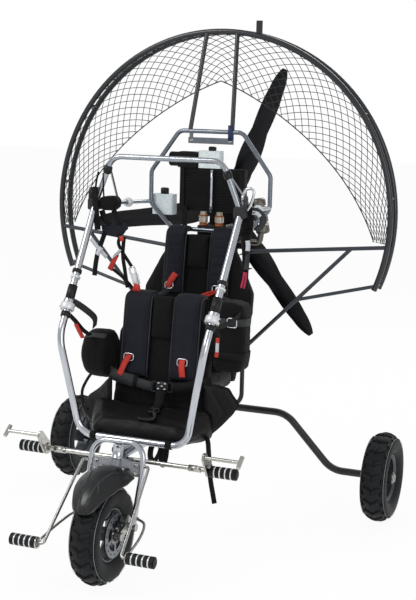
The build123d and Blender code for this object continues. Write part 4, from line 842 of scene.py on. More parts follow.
class TRIKE_OT_tyres(bpy.types.Operator):
    """Tyres with chevron lugs in place of the plain ones"""
    bl_idname = "trike.tyres"
    bl_label = "Tyres"

    def execute(self, context):
        sizes = context.scene.trike_tyres
        for name, body in (("front", "front_wheel"), ("rear_left", "rear_wheel_left"),
                ("rear_right", "rear_wheel_right")):
            low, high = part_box("tyre_" + name)
            self.make(name, body, (low + high) / 2, (high.x - low.x) / 2, sizes)
        return {"FINISHED"}

    def crown(self, across, half):
        """The tread's radius at a distance from the middle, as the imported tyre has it"""
        return TYRE_RADIUS - 0.021 * (across / (half - 0.007)) ** 2

    def make(self, name, body, centre, half, sizes):
        """One tyre: its carcass, its lugs and the pale line round each side"""
        bead = 0.101
        depth = sizes.lug_height
        tread = [(across / 1000, self.crown(across / 1000, half) - depth) for across in range(-48, 49, 6)]
        side = [(half - 0.0055, 0.170), (half - 0.0015, 0.160), (half, 0.148), (half - 0.001, 0.134),
            (half - 0.006, 0.118), (half - 0.013, 0.108), (0.0375, bead + 0.0004), (0.030, bead + 0.0002)]
        profile = tread + side + [(-x, r) for x, r in reversed(side)]
        carcass = turned("carcass_" + name, profile, centre, (1, 0, 0), tyre_rubber, 96)
        lugs = spun("lugs", self.lug(half, depth, sizes.lug_count), sizes.lug_count)
        lugs.data.transform(Matrix.Translation(centre))
        lines = [turned("line_" + name, [(side_x + 0.0009 * math.cos(a), 0.1725 + 0.0009 * math.sin(a))
                    for a in (0, 1.57, 3.14, 4.71)], centre, (1, 0, 0), tyre_line, 96)
            for side_x in (half - 0.0052, 0.0052 - half)]
        fitted("tread_" + name, [carcass, lugs, *lines], "tyre", body, "tyre_" + name)

    def lug(self, half, depth, count):
        """One chevron with its two shoulder blocks, round the origin"""
        pitch = 2 * math.pi / count
        blocks = []
        for side in (-1, 1):
            arm = [(0.0, 0.30), (0.018, 0.10), (0.036, 0.02), (0.036, -0.34), (0.018, -0.24), (0.0, -0.06)]
            blocks.append([(side * x, share * pitch) for x, share in arm])
            shoulder = [(0.040, 0.46), (0.0485, 0.42), (0.0485, 0.08), (0.040, 0.10)]
            blocks.append([(side * x, share * pitch) for x, share in shoulder])
        points, faces = [], []
        for block in blocks:
            start = len(points)
            count_here = len(block)
            for lower in (True, False):
                for x, angle in block:
                    drop = depth + 0.003 if lower else 0.0
                    inset = 1.0 if lower else 0.9
                    middle = sum(px for px, _ in block) / count_here
                    turn_middle = sum(pa for _, pa in block) / count_here
                    x_here = middle + (x - middle) * inset
                    angle_here = turn_middle + (angle - turn_middle) * inset
                    radius = self.crown(x_here, half) - drop
                    points.append((x_here, -radius * math.sin(angle_here), radius * math.cos(angle_here)))
            faces.append([start + n for n in range(count_here)])
            faces.append([start + count_here + n for n in range(count_here)])
            for n in range(count_here):
                after = (n + 1) % count_here
                faces.append([start + n, start + after, start + count_here + after, start + count_here + n])
        return outward(mesh_piece("lug", points, faces, tyre_rubber))


# The net's middle, where its cords are tied to the hoop, how far it reaches to each side of straight up,
# and how far round a cord has gone when it comes to the rope
NET_CENTRE = (0, 1070, 1320)
NET_OUTER = 0.762
NET_REACH = math.radians(97)
NET_LEAN = math.radians(34)


class TRIKE_OT_net(bpy.types.Operator):
    """The propeller cage's net and its ropes"""
    bl_idname = "trike.net"
    bl_label = "Net"

    def execute(self, context):
        sizes = context.scene.trike_net
        paths = []
        spacing = 2 * NET_REACH / sizes.cords
        beyond = int(NET_LEAN / spacing) + 1
        for number in range(-beyond, sizes.cords + beyond + 1):
            start = -NET_REACH + spacing * number
            for way in (-1, 1):
                path = []
                for step in range(25):
                    share = step / 24
                    angle = start + way * NET_LEAN * share ** 0.85
                    if abs(angle) > NET_REACH + 0.004:
                        continue
                    radius = NET_OUTER + (self.rope(angle, sizes) - NET_OUTER) * share
                    path.append(self.point(angle, radius))
                if len(path) > 1:
                    paths.append(path)
        net = grown("cage_net", path_curve("net_paths", paths), cords_tree,
            {"Cord radius": sizes.cord_radius, "Material": net_cord})
        rope = []
        for number in range(97):
            angle = -NET_REACH + 2 * NET_REACH * number / 96
            rope.append(self.point(angle, self.rope(angle, sizes)))
        edges = [[self.point(a, radius) for radius in (self.rope(a, sizes), 0.70, 0.764)]
            for a in (-NET_REACH, NET_REACH)]
        rope_piece = grown("net_rope", path_curve("rope_path", [rope, *edges]), cords_tree,
            {"Cord radius": sizes.cord_radius * 1.7, "Material": net_cord})
        fitted("propeller_net", [net, rope_piece], "dark_tube")
        return {"FINISHED"}

    def point(self, angle, radius):
        """A point in the net's plane, by its angle from straight up and its distance from the middle"""
        return place(*NET_CENTRE) + Vector((radius * math.sin(angle), 0, radius * math.cos(angle)))

    def rope(self, angle, sizes):
        """The inner rope's distance from the middle: drawn in at the quarters, out at the ends"""
        lift = ((abs(math.degrees(angle)) - 34) / 38) ** 2
        return min(0.752, sizes.inner_radius + 0.075 * lift)


class TRIKE_OT_seats(bpy.types.Operator):
    """The two upholstered seats, each a stuffed pan, back and pillow"""
    bl_idname = "trike.seats"
    bl_label = "Seats"

    def execute(self, context):
        sizes = context.scene.trike_seats
        for seat, half, thickness, pillow in (
                ("front", [(158, 556), (166, 482), (211, 398), (215, 250), (215, 150), (222, 14)], 72,
                    (372, 548)),
                ("rear", [(128, 636), (190, 538), (258, 400), (258, 300), (210, 60), (198, 4)], 66,
                    (480, 626))):
            back = self.back(seat, half, thickness, pillow, sizes)
            pan = self.pan(seat, sizes)
            cushion = self.pillow(seat, pillow, sizes)
            whole = joined(seat + "_seat_cover", [back, pan, cushion])
            settle(softened(whole), "frame", "textile", seat + "_seat")
            self.thread(seat, whole, pillow)
        return {"FINISHED"}

    def back(self, seat, half, thickness, pillow, sizes):
        """The leaning back, crowned, with its seams"""
        outline = divided(both_sides(half))
        levels = ((-thickness, 16), (-thickness + 14, 5), (-16, 5), (-4, 16))
        loops = [[on_back(seat, x, up, out) for x, up in shrunk(outline, inset)] for out, inset in levels]
        back = filled(skinned(seat + "_back", loops, black_cordura), sizes.voxel, sizes.pressure, 9)
        low, high = pillow
        side = 56
        seams = [
            [on_back(seat, x, up, 0) for x, up in ((-side, 120), (-side, high), (side, high), (side, 120))],
            [on_back(seat, x, low - 8, 0) for x in (-side, side)],
            [on_back(seat, x, 126, 0) for x in (-210, 210)]]
        return sewn(back, seams, 4, 11)

    def pan(self, seat, sizes):
        """The thick seat pan, lower and rounded at its nose"""
        stations = {"front": ((266, 176, 484, 526), (274, 192, 483, 541), (330, 218, 483, 566),
                (412, 254, 483, 597), (446, 256, 483, 598), (452, 246, 486, 590)),
            "rear": ((605, 156, 624, 684), (613, 168, 622, 697), (700, 184, 622, 698), (782, 196, 622, 697),
                (789, 188, 625, 690))}[seat]
        loops = []
        for behind, half, low, high in stations:
            loops.append([place(x, behind, z) for x, z in ((-half + 10, low), (half - 10, low),
                        (half, low + 12), (half + 3, (low + high) / 2), (half - 2, high - 14),
                        (half - 16, high), (0, high + 4), (16 - half, high), (2 - half, high - 14),
                        (-half - 3, (low + high) / 2), (-half, low + 12))])
        pan = filled(skinned(seat + "_pan", loops, coated_cloth), sizes.voxel, sizes.pressure * 0.7, 8)
        first = stations[1]
        rear = stations[-2]
        seams = [[place(x, first[0] + 34, first[3] + 14) for x in (-first[1], 0, first[1])],
            places((-130, first[0] + 34, first[3] + 14), (-140, rear[0], rear[3] + 4)),
            places((130, first[0] + 34, first[3] + 14), (140, rear[0], rear[3] + 4))]
        return sewn(pan, seams, 5, 14)

    def pillow(self, seat, span, sizes):
        """The raised cushion between the shoulder pads"""
        low, high = span
        outline = divided([(50, high), (50, low), (-50, low), (-50, high)], 25)
        loops = [[on_back(seat, x, up, out) for x, up in shrunk(outline, inset)]
            for out, inset in ((-6, 8), (4, 2), (12, 3), (18, 12))]
        return filled(skinned(seat + "_pillow", loops, black_cordura), 0.006, sizes.pressure, 6)

    def thread(self, seat, whole, pillow):
        """Two rows of stitches beside the pillow's seams, laid on the finished cloth"""
        paths = [laid(whole,
                [on_back(seat, x, 130 + (pillow[1] - 130) * number / 29, 10) for number in range(30)],
                0.0006) for x in (-62, 62)]
        stitches = grown(seat + "_stitches", path_curve("stitch_path", paths), stitch_tree,
            {"Pitch": 0.008, "Thread radius": 0.0008, "Thread length": 0.0055, "Material": grey_webbing})
        settle(stitches, "frame", "textile")


class TRIKE_OT_pads(bpy.types.Operator):
    """The padded shoulder straps with their bindings, frames and red tabs"""
    bl_idname = "trike.pads"
    bl_label = "Pads"

    def execute(self, context):
        sizes = context.scene.trike_seats
        for seat, side, width, foot, top in (("front", 108, 118, 214, 538), ("rear", 102, 92, 372, 634)):
            pads = [self.pad(seat, sign * side, width, foot, top, sizes) for sign in (-1, 1)]
            whole = joined(seat + "_shoulder_pads", pads)
            settle(softened(whole), "frame", "pad_textile", seat + "_pads")
            edges = []
            for sign in (-1, 1):
                for edge in (-1, 1):
                    x = sign * side + edge * (width / 2 - 1)
                    edges.append([on_back(seat, x, up, out) for up, out in self.route(foot, top, 17)])
            bindings = grown(seat + "_pad_bindings",
                path_curve("binding_paths", [smooth_path(e) for e in edges]), cords_tree,
                {"Cord radius": 0.0032, "Material": grey_webbing})
            settle(bindings, "frame", "pad_textile")
        self.front_tabs()
        self.rear_tabs()
        return {"FINISHED"}

    def route(self, foot, top, out):
        """The pad's middle line: up the back and over its top edge"""
        return ((foot, out - 6), (foot + 40, out), ((foot + top) / 2, out + 1), (top - 34, out + 1),
            (top, out - 8), (top + 12, -20), (top + 11, -46))

    def pad(self, seat, middle, width, foot, top, sizes):
        """One pad: a flat form along its route, stuffed"""
        points = [on_back(seat, middle, up, out) for up, out in self.route(foot, top, 15)]
        half = width / 2000
        section = [(-half, -0.006), (-half + 0.006, -0.011), (0, -0.012), (half - 0.006, -0.011),
            (half, -0.006), (half, 0.006), (half - 0.006, 0.011), (0, 0.013), (0.006 - half, 0.011),
            (-half, 0.006)]
        pad = swept(seat + "_pad", smooth_path(points, 4), section, (1, 0, 0), pad_nylon)
        pad = filled(pad, 0.0055, sizes.pressure, 4)
        seams = [[on_back(seat, middle + edge * (width / 2 - 13), up, 28) for up in (foot + 10, top - 20)]
            for edge in (-1, 1)]
        if seat == "rear":
            seams += [on_backs(seat, (middle - width / 2, up, 28), (middle + width / 2, up + 8, 28))
                for up in range(foot + 40, top - 30, 38)]
        return sewn(pad, seams, 2.5, 10)

    def front_tabs(self):
        """Silver frames on the front pads, each with its red pull"""
        frames, pulls = [], []
        for middle, tail in ((-126, (-160, 214)), (109, (116, 232))):
            frames.append(closed_frame("frame", on_back("front", middle, 290, 34), (1, 0, 0), UP_BACK,
                    0.042, 0.028, 0.0055, bright_buckle))
            pulls.append(strap("pull", on_backs("front", (middle, 300, 32), (middle, 290, 38),
                        (middle * 0.6 + tail[0] * 0.4, 262, 40), (tail[0], tail[1], 37)), 0.025, (1, 0, 0),
                    red_webbing, 0.003))
        fitted("front_pad_frames", frames, "steel")
        fitted("front_pad_pulls", pulls, "textile")

    def rear_tabs(self):
        """The rear pads' frames, red pulls and tails"""
        parts = [closed_frame("frame", on_back("rear", x, 400, 33), (1, 0.0, 0), UP_BACK, 0.036, 0.026,
                0.0055, bright_buckle) for x in (-112, 104)]
        fitted("rear_pad_frames", parts, "steel")
        straps("rear_pad_pulls", [
                (on_backs("rear", (-118, 388, 33), (-104, 418, 40), (-84, 452, 36)), 0.025, (1, 0, 0),
                    red_webbing, 0.003),
                (on_backs("rear", (104, 398, 33), (96, 380, 44), (60, 362, 60), (30, 356, 52),
                        (58, 374, 46), (100, 390, 40)), 0.012, OUT_OF_BACK, red_webbing, 0.003)])
        straps("rear_pad_tails", [
                (on_backs("rear", (-112, 392, 31), (-128, 368, 30), (-170, 350, 18), (-205, 330, 4)), 0.025,
                    (0.4, 0, 1), grey_webbing),
                (on_backs("rear", (104, 392, 31), (128, 366, 30), (170, 350, 18), (205, 330, 4)), 0.025,
                    (-0.4, 0, 1), grey_webbing)])


class TRIKE_OT_belts(bpy.types.Operator):
    """The front seat's lap belt, its buckle and the crotch strap"""
    bl_idname = "trike.belts"
    bl_label = "Belts"

    def execute(self, context):
        width = context.scene.trike_seats.webbing_width
        seat = "front"
        straps("lap_belts", [
                (on_backs(seat, (-226, 226, -4), (-205, 216, 16), (-160, 206, 30), (-92, 196, 36)),
                    width + 0.006, (0.15, 0, 1), grey_webbing, 0.009),
                (on_backs(seat, (-94, 196, 37), (-80, 193, 38)), width + 0.010, (0.2, 0, 1), black_webbing,
                    0.013),
                (on_backs(seat, (-84, 194, 37), (-50, 188, 40), (-4, 182, 42)), width - 0.004, (0.18, 0, 1),
                    grey_webbing, 0.005),
                (on_backs(seat, (76, 184, 42), (130, 194, 38), (180, 208, 26), (226, 224, -2)), width,
                    (-0.15, 0, 1), black_webbing, 0.006),
                ([on_back(seat, 30, 176, 40), place(36, 418, 652), place(40, 400, 618), place(42, 380, 608),
                        place(44, 344, 592)], 0.034, (1, 0, 0), black_webbing, 0.004),
                (places((44, 346, 594), (50, 324, 590), (66, 310, 583), (62, 296, 574), (36, 290, 570),
                        (2, 292, 571)), 0.022, (0, 0.4, 1), grey_webbing, 0.003)])
        block = ((-26, -14), (-20, -19), (20, -19), (26, -14), (26, 14), (20, 19), (-20, 19), (-26, 14))
        body = skinned("buckle", [[on_back(seat, 36 + x * share, 189 + z * share, out) for x, z in block]
                for out, share in ((34, 0.9), (37, 1), (50, 1), (54, 0.82))], black_plastic)
        parts = [body]
        for x, up, wide, tall in ((2, 185, 22, 40), (70, 187, 20, 38), (34, 166, 36, 18)):
            parts.append(closed_frame("lock", on_back(seat, x, up, 46), (1, 0, 0), UP_BACK, wide / 1000,
                    tall / 1000, 0.006, black_plastic))
        parts.append(closed_frame("lock", place(44, 346, 597), (1, 0, 0), (0, 1, 0.4), 0.042, 0.026, 0.006,
                black_plastic))
        fitted("lap_buckle", parts, "textile")
        spots = [(on_back(seat, x, up, 54), OUT_OF_BACK)
            for x, up in ((22, 200), (50, 200), (22, 178), (50, 178), (36, 189))]
        settle(bolts("buckle_studs", spots, 0.0032, bright_buckle), "frame", "steel")
        return {"FINISHED"}


class TRIKE_OT_bags(bpy.types.Operator):
    """The round side pouch and the tall side bag, with their webbing"""
    bl_idname = "trike.bags"
    bl_label = "Bags"

    def execute(self, context):
        sizes = context.scene.trike_seats
        self.pouch(sizes)
        self.bag(sizes)
        return {"FINISHED"}

    def pouch(self, sizes):
        """The round container on the right: a drum with a domed lid, ribs of piping and straps"""
        loops = []
        for out, share in ((0, 0.86), (6, 0.97), (30, 1.0), (84, 0.97), (106, 0.88), (116, 0.66),
                (120, 0.3)):
            loops.append([self.round(out, 84 * share, 100 * share, a) for a in full_turn(28)])
        drum = filled(skinned("pouch", loops, black_cordura), 0.0065, sizes.pressure, 5)
        seams = [[self.round(out, 88 * share, 104 * share, a) for a in full_turn(28, 1)]
            for out, share in ((36, 1.0), (92, 0.98))]
        drum = sewn(drum, seams, 4, 9)
        settle(softened(drum), "frame", "textile", "side_pouch")
        straps = []
        for turn in (0.5, 1.25, 2.2):
            points = []
            for out, share in ((8, 1.03), (40, 1.05), (86, 1.03), (108, 0.94), (120, 0.62), (124, 0.2)):
                points.append(self.round(out, 86 * share, 102 * share, turn))
            points = laid(drum, smooth_path(points, 3), 0.0012)
            straps.append(
                strap("pouch_strap", points, 0.025, (0, -math.sin(turn), math.cos(turn)), grey_webbing))
        hoop = [self.round(130, 52, 62, a) for a in full_turn(24)]
        straps.append(
            swept("pouch_piping", laid(drum, hoop), ring(0.0034), (1, 0, 0), grey_webbing, closed=True))
        fitted("pouch_straps", straps, "textile")

    def round(self, out, half_width, half_height, turn):
        """A point round the pouch's axis, from millimetres"""
        return place(POUCH_FACE - out, POUCH_BEHIND + half_width * math.cos(turn),
            POUCH_HEIGHT + half_height * math.sin(turn))

    def bag(self, sizes):
        """The tall container on the left, with two bands and a buckle"""
        outline = divided([(-44, -140), (44, -140), (60, -116), (60, 116), (44, 140), (-44, 140),
                (-60, 116), (-60, -116)], 34)
        loops = [[place(218 + out, 560 + x * share, 880 + z * share) for x, z in outline]
            for out, share in ((0, 0.9), (10, 0.99), (60, 1.02), (108, 0.99), (122, 0.88))]
        bag = filled(skinned("bag", loops, black_cordura), 0.0075, sizes.pressure, 7)
        seams = [[place(218 + out, 560 + x, 880 + z) for x, z in outline + outline[:1]]
            for out in (24, 100)]
        bag = sewn(bag, seams, 4, 10)
        settle(softened(bag), "frame", "textile", "side_bag")
        bands = []
        for height in (812, 948):
            points = places((222, 494, height), (290, 488, height - 2), (343, 506, height - 4),
                (349, 560, height - 6), (343, 614, height - 6), (290, 632, height - 4), (222, 626, height))
            points = laid(bag, smooth_path(points, 4), 0.0012)
            bands.append(
                strap("band", points, 0.030, (0, 0, 1), grey_webbing if height > 900 else black_webbing))
        fitted("bag_bands", bands, "textile")
        frame_part = closed_frame("bag_frame", place(306, 486, 946), (1, 0, 0), (0, 0, 1), 0.040, 0.036,
            0.005, bright_buckle)
        settle(frame_part, "frame", "steel")


class TRIKE_OT_hanging(bpy.types.Operator):
    """What hangs at the two knuckles: covers, risers' webbing, the navy flap, shackles and tags"""
    bl_idname = "trike.hanging"
    bl_label = "Hanging gear"

    def execute(self, context):
        self.right_webbing()
        self.right_flap(context.scene.trike_seats)
        self.right_metal()
        self.left_side(context.scene.trike_seats)
        self.knobs()
        return {"FINISHED"}

    def right_webbing(self):
        """Black webbing and two short lines at the right knuckle, and webbing down from it to the seat"""
        straps("right_riser_webbing", [
                (places((-302, 500, 1446), (-303, 496, 1420), (-300, 494, 1390), (-298, 500, 1330),
                        (-296, 510, 1272)), 0.026, (1, 0, 0.02), black_webbing, 0.003),
                (places((-296, 512, 1506), (-300, 504, 1476), (-302, 499, 1444)), 0.007, (1, 0, 0),
                    black_webbing, 0.004),
                (places((-276, 514, 1502), (-270, 505, 1440), (-268, 506, 1404)), 0.006, (1, 0, 0),
                    black_webbing, 0.003),
                (places((-280, 512, 1352), (-268, 514, 1320), (-250, 520, 1296)), 0.024, (1, 0, 0.4),
                    black_webbing, 0.004),
                (places((-226, 512, 1356), (-214, 514, 1324), (-204, 520, 1298)), 0.022, (1, 0, -0.2),
                    black_webbing, 0.004),
                (places((-270, 524, 1262), (-286, 526, 1222), (-302, 526, 1180), (-312, 526, 1130),
                        (-316, 524, 1082)), 0.020, (1, 0, 0.2), black_webbing, 0.003),
                (places((-203, 528, 1250), (-212, 530, 1222), (-199, 532, 1192), (-168, 538, 1146),
                        (-153, 540, 1124)), 0.014, (1, 0, 0.4), black_webbing),
                (places((-186, 528, 1250), (-192, 531, 1176), (-184, 536, 1109), (-176, 545, 1040)), 0.016,
                    (1, 0, 0), black_webbing),
                (places((-238, 534, 1112), (-206, 538, 1090), (-172, 545, 1060), (-150, 552, 1032)), 0.012,
                    (0.3, 0, 1), black_webbing)])
        straps("right_silver_tape", [
                (places((-334, 524, 1232), (-300, 524, 1196), (-262, 526, 1160)), 0.016, (0.7, 0, 0.7),
                    silver_tape, 0.003),
                (places((-284, 520, 1200), (-304, 520, 1168)), 0.018, (0.8, 0, -0.5), silver_tape, 0.003)])

    def right_flap(self, sizes):
        """The knuckle's black cover, and the navy flap under it"""
        corners = [(-240, 1316), (-186, 1306), (-166, 1285), (-190, 1255), (-216, 1242), (-260, 1248),
            (-286, 1262), (-292, 1290), (-262, 1296)]
        middle = Vector(
            (sum(x for x, _ in corners) / len(corners), sum(z for _, z in corners) / len(corners)))
        loops = []
        for behind, share in ((522, 0.92), (525, 1.0), (532, 1.0), (535, 0.9)):
            loops.append([place(middle.x + (x - middle.x) * share,
                        behind + 0.0016 * (x - middle.x) ** 2 / 2, middle.y + (z - middle.y) * share)
                    for x, z in corners])
        flap = filled(skinned("flap", loops, pad_nylon), 0.0045, sizes.pressure, 3)
        settle(softened(flap), "frame", "pad_textile")
        outline = [(-290, 1362), (-270, 1352), (-226, 1354), (-208, 1368), (-206, 1396), (-222, 1412),
            (-262, 1410), (-286, 1404)]
        loops = [[place(-248 + (x + 248) * share, behind, 1382 + (z - 1382) * share) for x, z in outline]
            for behind, share in ((500, 0.8), (506, 1.0), (544, 1.0), (552, 0.8))]
        cover = filled(skinned("cover", loops, black_cordura), 0.005, sizes.pressure, 6)
        settle(softened(cover), "frame", "textile")

    def right_metal(self):
        """The red-tagged adjusters and the white shackle"""
        tags = [slab("tag",
                ((-222, 1180), (-206, 1172), (-226, 1132), (-236, 1106), (-256, 1116), (-240, 1146)),
                (520, 526), red_webbing), slab("tag",
                ((-138, 1062), (-116, 1056), (-112, 1028), (-136, 1022), (-148, 1036)), (530, 537),
                red_webbing),
            slab("tag", ((-204, 1252), (-186, 1250), (-184, 1232), (-200, 1230)), (518, 524), red_plastic)]
        fitted("right_tags", tags, "textile")
        rod = round_rod("rod", places((-198, 524, 1196), (-210, 523, 1182), (-228, 522, 1164)), 0.006,
            bright_buckle)
        shackle = [rod]
        for x, z, wide, tall in ((-152, 1112, 24, 30), (-138, 1078, 26, 44)):
            shackle.append(closed_frame("shackle", place(x, 540, z), (1, 0, 0.35), (-0.35, 0, 1),
                    wide / 1000, tall / 1000, 0.007, bright_buckle))
        shackle.append(slab("shackle_body",
                [(-151, 1100), (-136, 1104), (-123, 1060), (-136, 1052), (-147, 1058)], (533, 547),
                white_plastic))
        fitted("right_shackle", shackle, "steel")

    def left_side(self, sizes):
        """The left knuckle's long sleeve, its white strap, tags and crimson lacing"""
        stations = ((1404, 325, 17, 12), (1382, 326, 26, 18), (1350, 327, 31, 20), (1300, 325, 28, 19),
            (1250, 324, 21, 15), (1200, 327, 19, 14), (1130, 326, 15, 12), (1068, 327, 13, 10))
        loops = []
        for height, middle, half, deep in stations:
            loops.append([place(middle + half * math.cos(a), 566 + deep * math.sin(a), height)
                    for a in full_turn(14)])
        sleeve = filled(skinned("sleeve", loops, black_cordura), 0.006, sizes.pressure * 0.6, 4)
        settle(softened(sleeve), "frame", "textile")
        wraps = []
        for height, middle, half, deep in ((1368, 326, 32, 22), (1300, 325, 31, 21), (1215, 326, 22, 16),
                (1148, 326, 18, 14)):
            ring_points = [
                place(middle + half * math.cos(a), 566 + deep * math.sin(a), height + 7 * math.cos(a))
                for a in full_turn(20)]
            wraps.append(swept("wrap", ring_points,
                    [(-0.0015, -0.009), (0.0015, -0.009), (0.0015, 0.009), (-0.0015, 0.009)], (0, 0, 1),
                    black_webbing, closed=True))
        fitted("left_wraps", wraps, "textile")
        straps("left_tapes", [
                (places((349, 556, 1384), (372, 572, 1376), (386, 584, 1352), (378, 592, 1322),
                        (356, 586, 1302)), 0.026, (0.35, 0.2, 1), grey_webbing, 0.004),
                (places((352, 552, 1376), (370, 562, 1372), (380, 568, 1360)), 0.015, (0.2, 0, 1),
                    silver_tape, 0.004),
                (places((340, 544, 1266), (343, 543, 1246), (342, 542, 1226)), 0.018, (1, 0, 0),
                    silver_tape, 0.003),
                (places((339, 548, 1226), (338, 547, 1190), (335, 546, 1150)), 0.017, (1, 0, 0),
                    grey_webbing, 0.003)])
        hook = round_rod("hook", places((326, 538, 1391), (319, 540, 1409), (318, 540, 1440),
                (330, 540, 1464), (352, 540, 1468), (362, 540, 1456), (358, 540, 1430), (346, 540, 1400),
                (334, 541, 1382), (327, 542, 1376)), 0.0058, bright_buckle, 8, 14)
        gate = turned("gate", [(0, 0.0059), (0.001, 0.0082), (0.022, 0.0082), (0.023, 0.0059)],
            place(318.4, 540, 1418), (0.02, 0, 1), bright_buckle, 28)
        fitted("left_hook", [hook, gate], "steel")
        straps("left_crimson_lacing", [
                (places((330, 545, 1142), (326, 544, 1112), (318, 546, 1078)), 0.008, (1, 0, 0),
                    crimson_tape, 0.004),
                (places((338, 545, 1140), (336, 544, 1108), (330, 546, 1076)), 0.006, (1, 0, 0),
                    crimson_tape, 0.004)])

    def knobs(self):
        """The white knobs on the hang bars and the black end balls of the top hoop"""
        whites, blacks = [], []
        for sign in (-1, 1):
            axis = place(sign * 274, 970, 1358) - sided(sign, KNUCKLE)
            whites.append(turned("knob", [(-0.012, 0.0085), (-0.014, 0.013), (-0.009, 0.019), (0.0, 0.0205),
                        (0.009, 0.019), (0.014, 0.013), (0.012, 0.0085)],
                    sided(sign, KNUCKLE) + axis * 0.57, axis, white_plastic, 32))
            lean = place(sign * 238, 520, 1570) - sided(sign, KNUCKLE)
            blacks.append(turned("end_ball", [(-0.016, 0.0112), (-0.017, 0.014), (-0.010, 0.0175),
                        (0.004, 0.0178), (0.014, 0.015), (0.016, 0.0112)],
                    sided(sign, KNUCKLE) + lean * 0.73, lean, black_plastic, 28))
        fitted("hang_bar_knobs", whites, "tank_plastic")
        fitted("hoop_end_balls", blacks, "grey_tube")


class TRIKE_OT_collars(bpy.types.Operator):
    """Clamp rings, sleeves and bands on the front loop"""
    bl_idname = "trike.collars"
    bl_label = "Collars"

    def execute(self, context):
        whites, blacks = [], []
        for sign in (-1, 1):
            foot = sided(sign, LOOP_SHOULDER)
            axis = sided(sign, KNUCKLE) - foot
            unit = axis.normalized()
            spot = foot + axis * 0.235
            whites.append(turned("collar", [(-0.013, 0.0224), (-0.014, 0.026), (-0.010, 0.0285),
                        (0.010, 0.0285), (0.014, 0.026), (0.013, 0.0224)], spot - unit * 0.008, unit,
                    cast_collar, 40))
            for start, length in ((-0.052, 0.022), (0.024, 0.060)):
                blacks.append(turned("sleeve",
                        [(0, 0.0143), (0.001, 0.0185), (length - 0.001, 0.0185), (length, 0.0143)],
                        spot + unit * start, unit, black_plastic, 32))
            blacks.append(turned("sleeve", [(0, 0.0143), (0.001, 0.019), (0.015, 0.019), (0.016, 0.0143)],
                    foot + axis * 0.47, unit, black_plastic, 32))
            whites.append(turned("ring", [(0, 0.0143), (0.001, 0.0195), (0.009, 0.0195), (0.010, 0.0143)],
                    foot + axis * 0.43, unit, cast_collar, 32))
            ring_middle = spot - unit * 0.008
            ahead = unit.cross(Vector((1, 0, 0)))
            bolts_out = [(ring_middle + Vector((sign * 0.0285, 0, 0)), (sign, 0, 0)),
                (ring_middle + ahead.normalized() * 0.0285, ahead)]
            settle(bolts("collar_bolts", bolts_out, 0.004, black_plastic), "frame", "steel")
        for x in (-166, 156):
            blacks.append(turned("band",
                    [(-0.012, 0.0142), (-0.0125, 0.0172), (0.0125, 0.0172), (0.012, 0.0142)],
                    place(x, 244, 495.6), (1, 0, 0), black_webbing, 32))
        fitted("loop_rings", whites, "polished_tube")
        fitted("loop_sleeves", blacks, "ringed_rubber")
        return {"FINISHED"}


class TRIKE_OT_mudguard(bpy.types.Operator):
    """The moulded front mudguard with its raised middle, creases and lips, on two tabs"""
    bl_idname = "trike.mudguard"
    bl_label = "Mudguard"

    def execute(self, context):
        # columns: degrees back from straight up, half width, reach from the axle, drop at the sides
        sections = ((-54, 12, 213, 1), (-52.5, 30, 216, 4), (-48, 45, 219, 9), (-36, 62, 228, 20),
            (-22, 80, 236, 34), (0, 96, 246, 44), (10, 98, 250, 39), (18, 97, 252, 32))
        shapes = smooth_path([(angle, half, reach) for angle, half, reach, _ in sections], 5)
        drops = smooth_path([(drop, 0, 0) for _, _, _, drop in sections], 5)
        across = 44
        layers = []
        for inner in (0, 4.5):
            rows = []
            for shape, drop in zip(shapes, drops):
                angle, half, reach = shape
                lean = math.radians(angle)
                out = Vector((0, math.sin(lean), math.cos(lean)))
                crease = 0.40 + 0.10 * math.sin(math.radians(angle * 3.1 + 60))
                row = []
                for step in range(across + 1):
                    share = 2 * step / across - 1
                    rise = reach - drop.x * abs(share) ** 2.1 - inner
                    band = min(1, max(0, (crease - abs(share)) / 0.07))
                    rise += 3.4 * band * band * (3 - 2 * band) * min(1, (angle + 54) / 8)
                    rise += 2.2 * max(0, abs(share) - 0.9) * 10 * (1 - inner / 4.5)
                    side = share * (half - inner * 0.4)
                    row.append(place(side, 0, AXLE_HEIGHT) + out * rise / 1000)
                rows.append(row)
            layers.append(rows)
        points = [point for rows in layers for row in rows for point in row]
        count = across + 1
        block = len(shapes) * count
        faces = []
        for row in range(len(shapes) - 1):
            for step in range(across):
                corners = (row * count + step, row * count + step + 1, (row + 1) * count + step + 1,
                    (row + 1) * count + step)
                faces += [corners, tuple(block + corner for corner in reversed(corners))]
            for step in (0, across):
                first, second = row * count + step, (row + 1) * count + step
                faces.append((first, second, block + second, block + first))
        for row in (0, len(shapes) - 1):
            for step in range(across):
                first, second = row * count + step, row * count + step + 1
                faces.append((first, second, block + second, block + first))
        shell = outward(mesh_piece("guard_shell", points, faces, glossy_plastic))
        # Pale cords along the edges of each crease: a painted highlight where the crease edges catch the
        # light
        lines = []
        for side in (-1, 1):
            for reach_out, start, stop in ((26, -40, -8), (48, -33, 4)):
                path = []
                for number in range(9):
                    angle = math.radians(start + (stop - start) * number / 8)
                    path.append(place(
                            side * (reach_out - 9 * math.sin(math.pi * number / 8) + 2.2 * number), 0,
                            AXLE_HEIGHT) + Vector((0, math.sin(angle), math.cos(angle))) * 0.26)
                lines.append(smooth_path(laid(shell, path, 0.0002), 3))
        creases = grown("guard_creases", path_curve("crease_paths", lines), cords_tree,
            {"Cord radius": 0.0021, "Material": crease_highlight_plastic})
        settle(creases, "fork", "guard_plastic")
        tabs = [strap("guard_tab", places((x, 46, 423), (x, 62, 425), (x, 105, 425)), 0.024, (1, 0, 0),
                glossy_plastic, 0.006) for x in (-45, 45)]
        fitted("mudguard_shell", [shell, *tabs], "guard_plastic", "fork", "mudguard")
        settle(bolts("guard_bolts", [(place(x, 74, 428), (0, 0, 1)) for x in (-45, 45)], 0.0045,
                bright_buckle), "fork", "steel")
        return {"FINISHED"}


